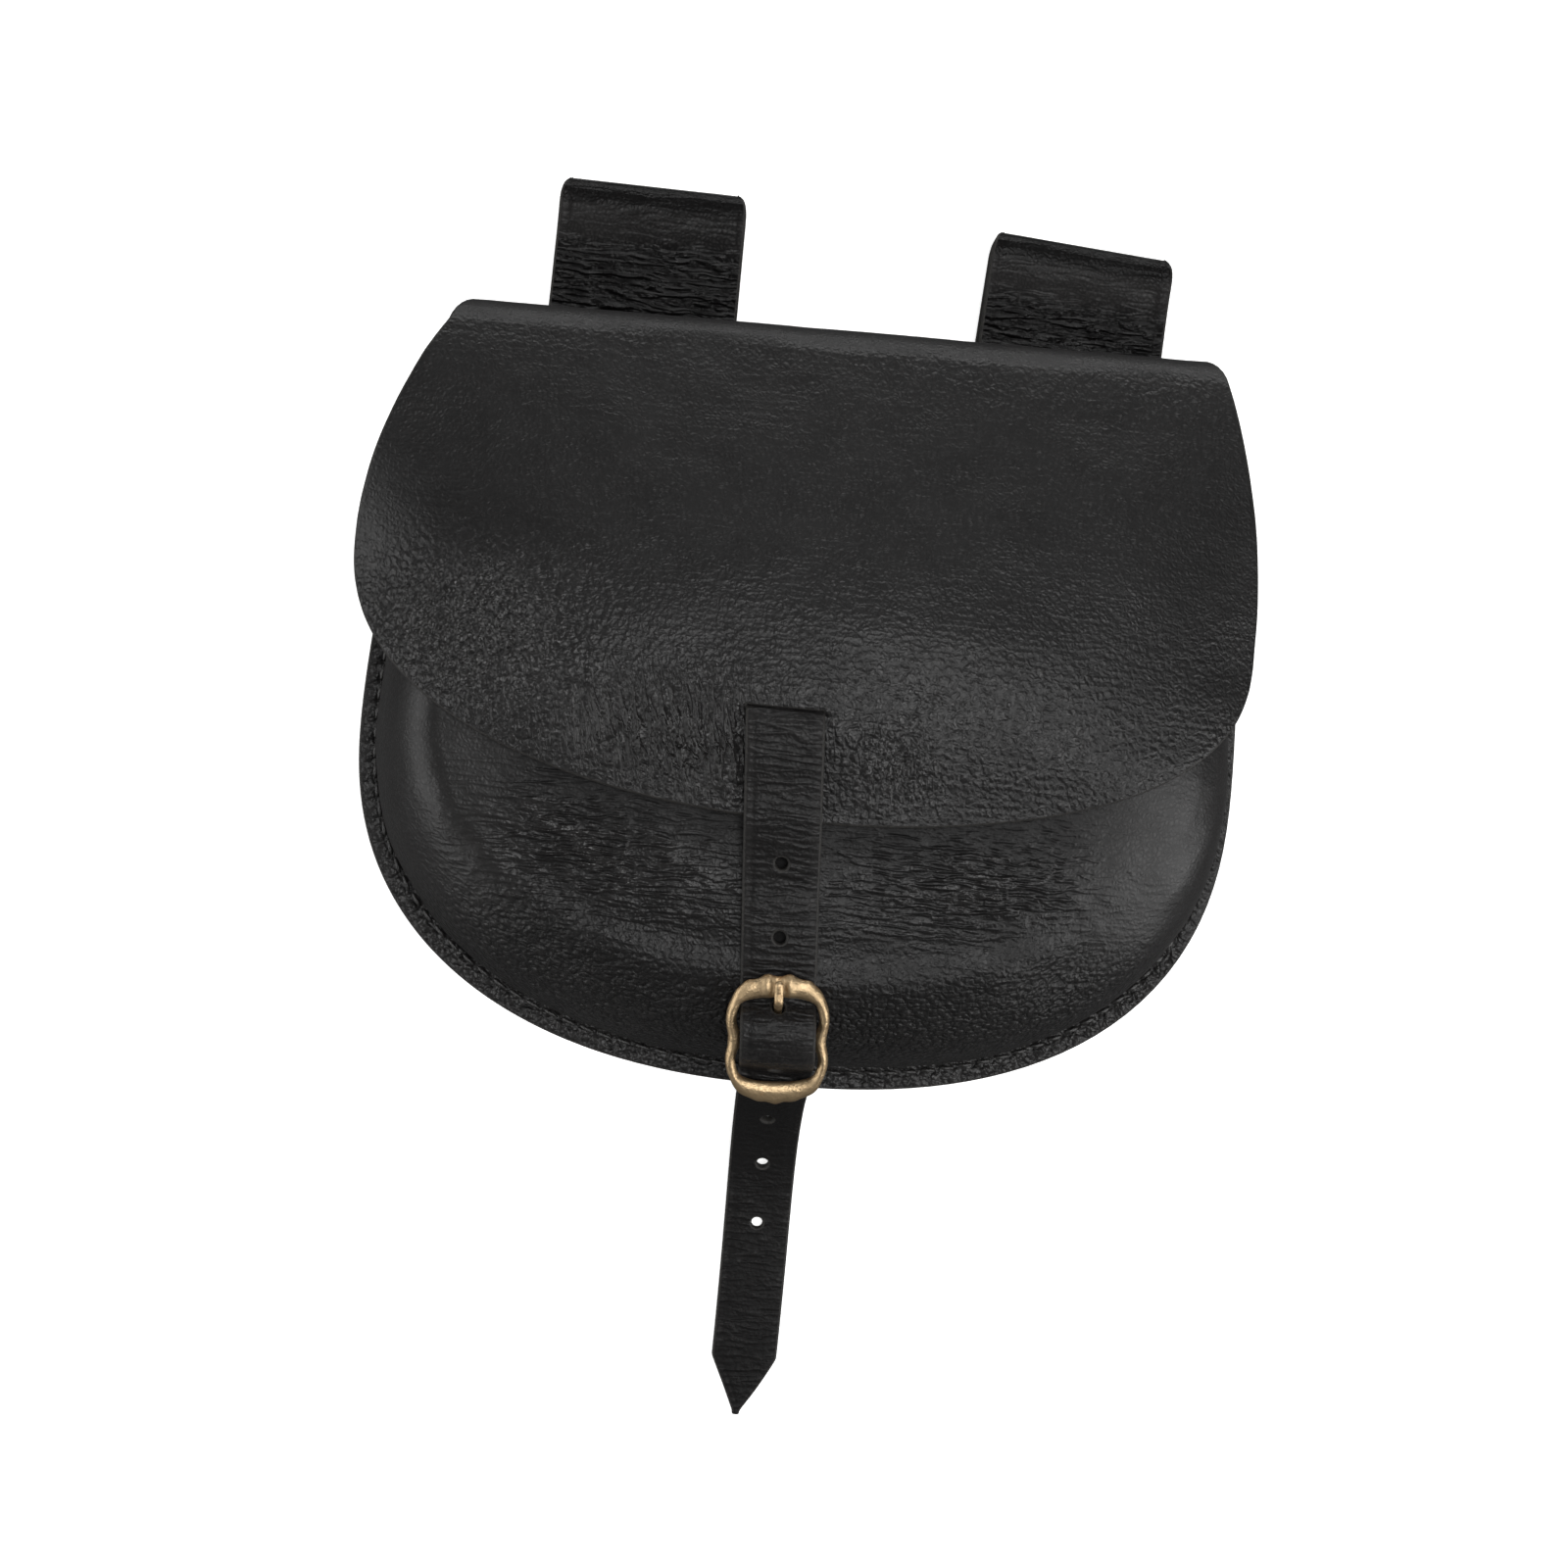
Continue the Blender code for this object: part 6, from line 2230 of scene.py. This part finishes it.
@dataclass(frozen=True)
class BuckleTongue(BucklePiece):
    """A wire turned round the middle bar, up through the strap, and onto the end bar's notch.

    Attributes:
        wrap_steps: How many points of its path go round the middle bar.
        rings: How many rings it has.
        sides: How many points round each ring.
        flattened: Between which shares of its length it turns flat.
        widening: How much wider it is then.
        thinning: How much thinner it is then.
        tip: Share of its length over which its end is rounded.
    """

    wrap_steps: int = 11
    rings: int = 110
    sides: int = 20
    flattened: tuple[float, float] = (0.55, 0.85)
    widening: float = 0.16
    thinning: float = 0.12
    tip: float = 0.035

    def build(self) -> Geometry:
        """The wire, hammered flat towards its blunt tip."""
        form = self.form
        path = form.strap_path()
        spot = form.tongue_hole(path)
        offset = at_lengths(path, spot) - form.buckle_origin
        hole = np.array([offset @ form.buckle_up, offset @ form.buckle_out])
        normals = path_normals(path)
        arc = arc_lengths(path)
        way = np.array([np.interp(spot, arc, normals[:, k]) for k in (0, 1)])
        through = np.array([way @ form.buckle_up, way @ form.buckle_out])
        through *= math.copysign(1.0, through[1])
        loop = form.middle_bar_radius + form.curved_touch + form.tongue_radius
        angles = np.linspace(form.tongue_open_from, form.tongue_open_to, self.wrap_steps)
        wrap = loop * np.column_stack([np.cos(angles), np.sin(angles)])
        points = list(wrap - (0.0, form.middle_bar_sink))
        rest = form.frame_thickness / 2 + form.touch + form.tongue_radius
        points.append(hole - through * form.tongue_lead / 2)
        points.append(hole + through * form.tongue_lead / 2)
        points.append((form.buckle_arm - form.end_bar_width / 2, rest + form.touch))
        points.append((form.buckle_arm, rest))
        tip = form.buckle_arm + form.end_bar_width / 2 + form.tongue_overhang
        points.append((tip, rest - form.touch))
        line = curve_through(np.array([tuple(p) for p in points]), SPAN_POINTS)
        share = np.linspace(0.0, 1.0, self.rings)
        line = at_lengths(line, share * arc_lengths(line)[-1])
        past = np.clip((share - 1 + self.tip) / self.tip, 0, 1)
        flat = ramp(share, *self.flattened)
        radius = form.tongue_radius * np.sqrt(np.clip(1 - past**2, 0.02, 1))
        wide = radius * (1 + self.widening * flat)
        thick = radius * (1 - self.thinning * flat)
        normal = path_normals(line)
        angle = full_turn(self.sides)
        section = np.zeros((self.rings, self.sides, 3))
        section[..., 0] = wide[:, None] * np.cos(angle)
        section[..., 1] = thick[:, None] * np.sin(angle) * normal[:, :1]
        section[..., 2] = thick[:, None] * np.sin(angle) * normal[:, 1:]
        centres = np.column_stack([0 * line[:, 0], line])
        wire = tube(centres, section, closed=False)
        wire.masks["hollow"] = np.full(len(wire.points), 0.25)
        wire.points = form.to_buckle(wire.points)
        return wire


@dataclass(frozen=True)
class BuckleTab(LeatherPiece):
    """A leather tab folded round the middle bar, both its layers sewn to the wall below.

    Attributes:
        columns: How many points across.
        row_step: Distance between rows.
        wall_steps: How many points of each layer's path lie on the wall.
        wrap_steps: How many points of the path go round the middle bar.
        run_steps: How many points each run between them has, with its ends.
        edge_line: The line along its edges.
    """

    columns: int = 25
    row_step: float = 0.45
    wall_steps: int = 5
    wrap_steps: int = 11
    run_steps: int = 4
    edge_line: EdgeLine = EdgeLine(1.0, 0.3, 0.12)

    def build(self) -> Geometry:
        """The tab, slotted for the tongue."""
        form = self.form
        bar = form.buckle_point(0.0, -form.middle_bar_sink)
        ys = np.linspace(bar[0] - form.tab_reach, bar[0] - form.tab_opens, self.wall_steps)
        share = (ys + form.body_depth_below - form.flange_width) / form.wall_run_bottom
        base = form.flange_height(ys) + form.shell_leather / 2
        top = form.crown(ys) - form.shell_leather / 2
        wall = np.column_stack([ys, base + (top - base) * form.wall_rise(np.clip(share, 0, 1))])
        normals = path_normals(wall)
        inner_off = form.shell_leather / 2 + form.curved_touch + form.tab_leather / 2
        inner = wall + normals * inner_off
        outer = inner + normals * (form.tab_leather + form.touch)
        radius = form.middle_bar_radius + 2 * form.touch + form.tab_leather / 2
        first = self._touch_angle(inner[-1], bar, radius, -1)
        last = self._touch_angle(outer[-1], bar, radius, 1)
        angles = np.linspace(first, last, self.wrap_steps)
        wrap = bar + radius * np.column_stack([np.cos(angles), np.sin(angles)])
        up = np.linspace(inner[-1], wrap[0], self.run_steps)[1:-1]
        down = np.linspace(wrap[-1], outer[-1], self.run_steps)[1:-1]
        path = curve_through(np.vstack([inner, up, wrap, down, outer[::-1]]), SPAN_POINTS)
        length = arc_lengths(path)[-1]
        path = at_lengths(path, np.linspace(0, length, int(length / self.row_step)))
        half, slot = form.tab_width / 2, form.tab_slot / 2
        across = snapped(np.linspace(-half, half, self.columns), (-slot, slot))
        aside = float(form.strap_aside(bar[0]))
        middle = np.zeros((len(path), self.columns, 3))
        middle[..., 0] = aside + across
        middle[..., 1:] = path[:, None, :]
        reach = form.middle_bar_radius + 2 * form.touch + 2 * form.tongue_radius
        reach += form.tab_leather / 2
        centre_y = 0.5 * (path[1:, 0] + path[:-1, 0])
        slot_rows = np.abs(centre_y - bar[0]) < reach
        slot_columns = np.abs(0.5 * (across[1:] + across[:-1])) < slot
        left_out = slot_rows[:, None] & slot_columns
        edge_off = half - np.abs(across)[None, :] + 0 * middle[..., 0]
        relief = Waves(61, 4.0, 4.0, 3, 0.05).at(middle[..., 0], middle[..., 1])
        relief = relief + self.edge_line.at(edge_off)
        # The polish mask lightens the tab's edges as a painted highlight.
        masks = {
            "pebbled": 0.2 + 0 * edge_off,
            "creased": 0.3 + 0 * edge_off,
            "polished": bell(edge_off / 0.8),
        }
        sheet = Sheet(middle, form.tab_leather, relief, 0.0, 0.4, left_out, masks=masks)
        return sheet.geometry()

    @staticmethod
    def _touch_angle(point: Array, middle: Array, radius: float, side: int) -> float:
        """Angle round a circle at which a line from a point touches it."""
        towards = middle - point
        spread = math.asin(radius / math.hypot(*towards))
        return math.atan2(towards[1], towards[0]) + side * (spread + math.pi / 2)


@dataclass(frozen=True)
class Stitches(Piece):
    """The seam's stitches, on the flange or on the back panel's underside.

    Attributes:
        seam: The row that they follow.
        upper: True on the flange, False on the underside.
        thread: Diameter of the thread.
        share: Share of the pitch that a stitch shows on each side of its middle.
        slant: How far each end of a stitch strays from the row.
        slant_range: How much more or less that is from stitch to stitch.
        sides: How many points round the thread.
        rings: How many rings along a stitch.
        seam_steps: How many points of the seam they are placed by.
    """

    seam: Seam
    upper: bool
    thread: float = 0.9
    share: float = 0.40
    slant: float = 0.22
    slant_range: float = 0.12
    sides: int = 10
    rings: int = 9
    seam_steps: int = 4000

    def build(self) -> Geometry:
        """Short lengths of thread, arched between their holes and a little slanted."""
        form, seam = self.form, self.seam
        fine = seam.outline(self.seam_steps)
        arc = arc_lengths(fine)
        count = int(arc[-1] / seam.pitch) - 1
        starts = (np.arange(count) + 1.0) * seam.pitch
        t = np.linspace(-1.0, 1.0, self.rings)
        spots = starts[:, None] + t * (self.share * seam.pitch)
        line = at_lengths(fine, spots.ravel())
        row = seam.inset(line[:, 0]).reshape(spots.shape)
        slant = self.slant + self.slant_range * Noise(71).plain(starts * 3.7, 0.5)[:, None]
        inset = row + slant * t
        _, way = seam.inward(line)
        place = line + way * inset.reshape(-1)[:, None]
        x, y = form.settled(place[:, 0], place[:, 1])
        arch = (1 - np.abs(t) ** 2.4)[None, :] + 0 * spots
        radius = self.thread / 2
        if self.upper:
            surface = form.flange_height(place[:, 1]) + form.shell_leather
            z = surface.reshape(spots.shape) - seam.groove + 0.10 + radius * (arch * 1.5 - 0.9)
        else:
            surface = form.back_height(place[:, 1])
            z = surface.reshape(spots.shape) + radius * (2.15 - arch) + 0.02
        centres = np.stack([x.reshape(spots.shape), y.reshape(spots.shape), z], axis=-1)
        along = unit(np.gradient(centres, axis=1))
        side = unit(np.cross(along, (0.0, 0.0, 1.0)))
        up = np.cross(side, along)
        angle = full_turn(self.sides)
        cosine, sine = np.cos(angle)[:, None], np.sin(angle)[:, None]
        thin = np.sqrt(np.clip(1 - np.abs(t) ** 4, 0.05, 1))[None, :, None, None]
        ring = radius * thin * (cosine * side[:, :, None, :] + sine * up[:, :, None, :])
        points = centres[:, :, None, :] + ring
        first = np.repeat(centres[:, :1, None, :], self.sides, axis=2)
        last = np.repeat(centres[:, -1:, None, :], self.sides, axis=2)
        points = np.concatenate([first, points, last], axis=1)
        rows = self.rings + 2
        one = grid_quads(rows, self.sides, closed=True).reshape(-1, 4)
        offsets = np.arange(count)[:, None, None] * rows * self.sides
        quads = (one[None] + offsets).reshape(-1, 4)
        turns = np.sin(angle[None, :] * 2 + np.arange(rows)[:, None] * 1.9) * 0.5 + 0.5
        twist = np.broadcast_to(turns, (count, rows, self.sides)).ravel()
        flat = points.reshape(-1, 3)
        sides = np.zeros(len(quads), int)
        return Geometry(flat, quads, sides, {"twist": twist}, POLE_MERGE)

    def dress(self) -> list[bpy.types.Material]:
        """Waxed thread."""
        return [finished(WaxedThread("waxed_thread"))]


# Studio


@dataclass(frozen=True)
class Softbox:
    """A soft studio light.

    Attributes:
        name: The light's name.
        place: Where it is, in metres.
        aim: Where it points.
        size: Its width and height.
        power: Its power in watts.
    """

    name: str
    place: Triple
    aim: Triple
    size: tuple[float, float]
    power: float

    def build(self) -> bpy.types.Object:
        """The area light, turned to its aim and hidden from the camera."""
        light = bpy.data.lights.new(self.name, "AREA")
        light.shape = "RECTANGLE"
        light.size, light.size_y = self.size
        light.energy = self.power
        made = bpy.data.objects.new(self.name, light)
        made.location = self.place
        way = Vector(self.aim) - Vector(self.place)
        made.rotation_euler = way.to_track_quat("-Z", "Y").to_euler()
        made.visible_camera = False
        bpy.context.collection.objects.link(made)
        return made


@dataclass(frozen=True)
class PhotoCamera:
    """The camera above the pouch, found from the photograph's perspective.

    Attributes:
        image_width: Width of the photograph in pixels.
        focal: Focal length in pixels.
        below: Pixel of the point straight below the camera.
        height: Height above the table, in metres.
        place: Where that point is on the table, in metres.
        roll: How far the picture is turned.
        sensor: Width of the sensor in millimetres.
    """

    image_width: float = 1600.0
    focal: float = 1657.0
    below: tuple[float, float] = (724.0, 736.0)
    height: float = 0.372
    place: tuple[float, float] = (-0.0216, 0.0205)
    roll: float = math.radians(5.5)
    sensor: float = 36.0

    def build(self) -> bpy.types.Object:
        """The camera, whose axes follow from where straight down is in the picture."""
        middle = self.image_width / 2
        down = Vector((self.below[0] - middle, middle - self.below[1], -self.focal)).normalized()
        up = -down
        right = (Vector((1.0, 0.0, 0.0)) - up * up.x).normalized()
        axes = Matrix((right, up.cross(right), up))
        camera = bpy.data.cameras.new("photo_camera")
        camera.sensor_width = self.sensor
        camera.lens = self.focal / self.image_width * self.sensor
        camera.clip_start = 0.01
        made = bpy.data.objects.new("photo_camera", camera)
        turn = Matrix.Rotation(self.roll, 3, "Z") @ axes
        made.matrix_world = Matrix.Translation((*self.place, self.height)) @ turn.to_4x4()
        bpy.context.collection.objects.link(made)
        bpy.context.scene.camera = made
        return made


@dataclass(frozen=True)
class Studio:
    """Pale floor, soft lights and the camera."""

    floor_reach: float = 3.0
    floor_drop: float = 0.0002
    world_grey: float = 0.10
    lights: tuple[Softbox, ...] = (
        Softbox("top_softbox", (0.14, 0.08, 1.10), (0.0, 0.02, 0.0), (0.54, 0.56), 8.4),
        Softbox("back_strip", (0.0, 0.80, 0.10), (0.0, 0.05, 0.03), (1.1, 0.18), 3.8),
        Softbox("left_softbox", (-0.70, -0.12, 0.23), (0.0, 0.0, 0.03), (0.90, 0.42), 3.8),
        Softbox("right_softbox", (0.66, -0.23, 0.36), (0.05, -0.03, 0.03), (0.45, 0.54), 4.0),
        Softbox("front_strip", (0.0, -0.95, 0.40), (0.0, 0.0, 0.03), (0.9, 0.30), 0.25),
    )

    def build(self) -> None:
        """Floor, world, lights and camera."""
        reach = self.floor_reach
        mesh = bpy.data.meshes.new("floor")
        corners = [(-reach, -reach), (reach, -reach), (reach, reach), (-reach, reach)]
        mesh.from_pydata([(x, y, -self.floor_drop) for x, y in corners], [], [(0, 1, 2, 3)])
        mesh.materials.append(PaleFloor("pale_floor").material())
        floor = bpy.data.objects.new("floor", mesh)
        bpy.context.collection.objects.link(floor)
        floor.visible_glossy = False
        world = bpy.data.worlds.new("studio")
        world.use_nodes = True
        world.node_tree.nodes["Background"].inputs["Color"].default_value = (1.0, 1.0, 1.0, 1.0)
        world.node_tree.nodes["Background"].inputs["Strength"].default_value = self.world_grey
        bpy.context.scene.world = world
        for light in self.lights:
            light.build()
        PhotoCamera().build()
        bpy.context.scene.view_settings.view_transform = "Standard"


def main() -> None:
    """Builds the pouch piece by piece, then the studio round it."""
    logging.basicConfig(level=logging.INFO, format="%(message)s")
    form = FORM
    seam = Seam(form)
    left = form.loop_left_from_end - form.fold_left
    right = form.fold_right - form.loop_right_from_end
    lean = form.loop_right_lean
    pieces: list[Piece] = [
        BackAndFlap(form, "back_and_flap_leather", "back_and_flap", "flap_leather", seam),
        FrontShell(form, "front_shell_leather", "front_panel", "shell_leather", seam),
        BeltLoop(
            form, "belt_loop_left_leather", "belt_loop_left", "loop_leather",
            left, form.loop_left_rise, 0.0, 31,
        ),
        BeltLoop(
            form, "belt_loop_right_leather", "belt_loop_right", "loop_leather",
            right, form.loop_right_rise, lean, 36,
        ),
        ClosingStrap(form, "closing_strap_leather", "closing_strap", "strap_leather"),
        BuckleFrame(form, "buckle_frame_cast", "buckle_frame", "frame_brass"),
        BuckleTongue(form, "buckle_tongue_wire", "buckle_tongue", "tongue_brass"),
        BuckleTab(form, "buckle_tab_leather", "buckle_tab", "tab_leather"),
        Stitches(form, "edge_stitching_front", "", "shell_leather", seam, True),
        Stitches(form, "edge_stitching_rear", "", "flap_leather", seam, False),
    ]
    for piece in pieces:
        piece.place()
    Studio().build()


if __name__ == "__main__":
    main()
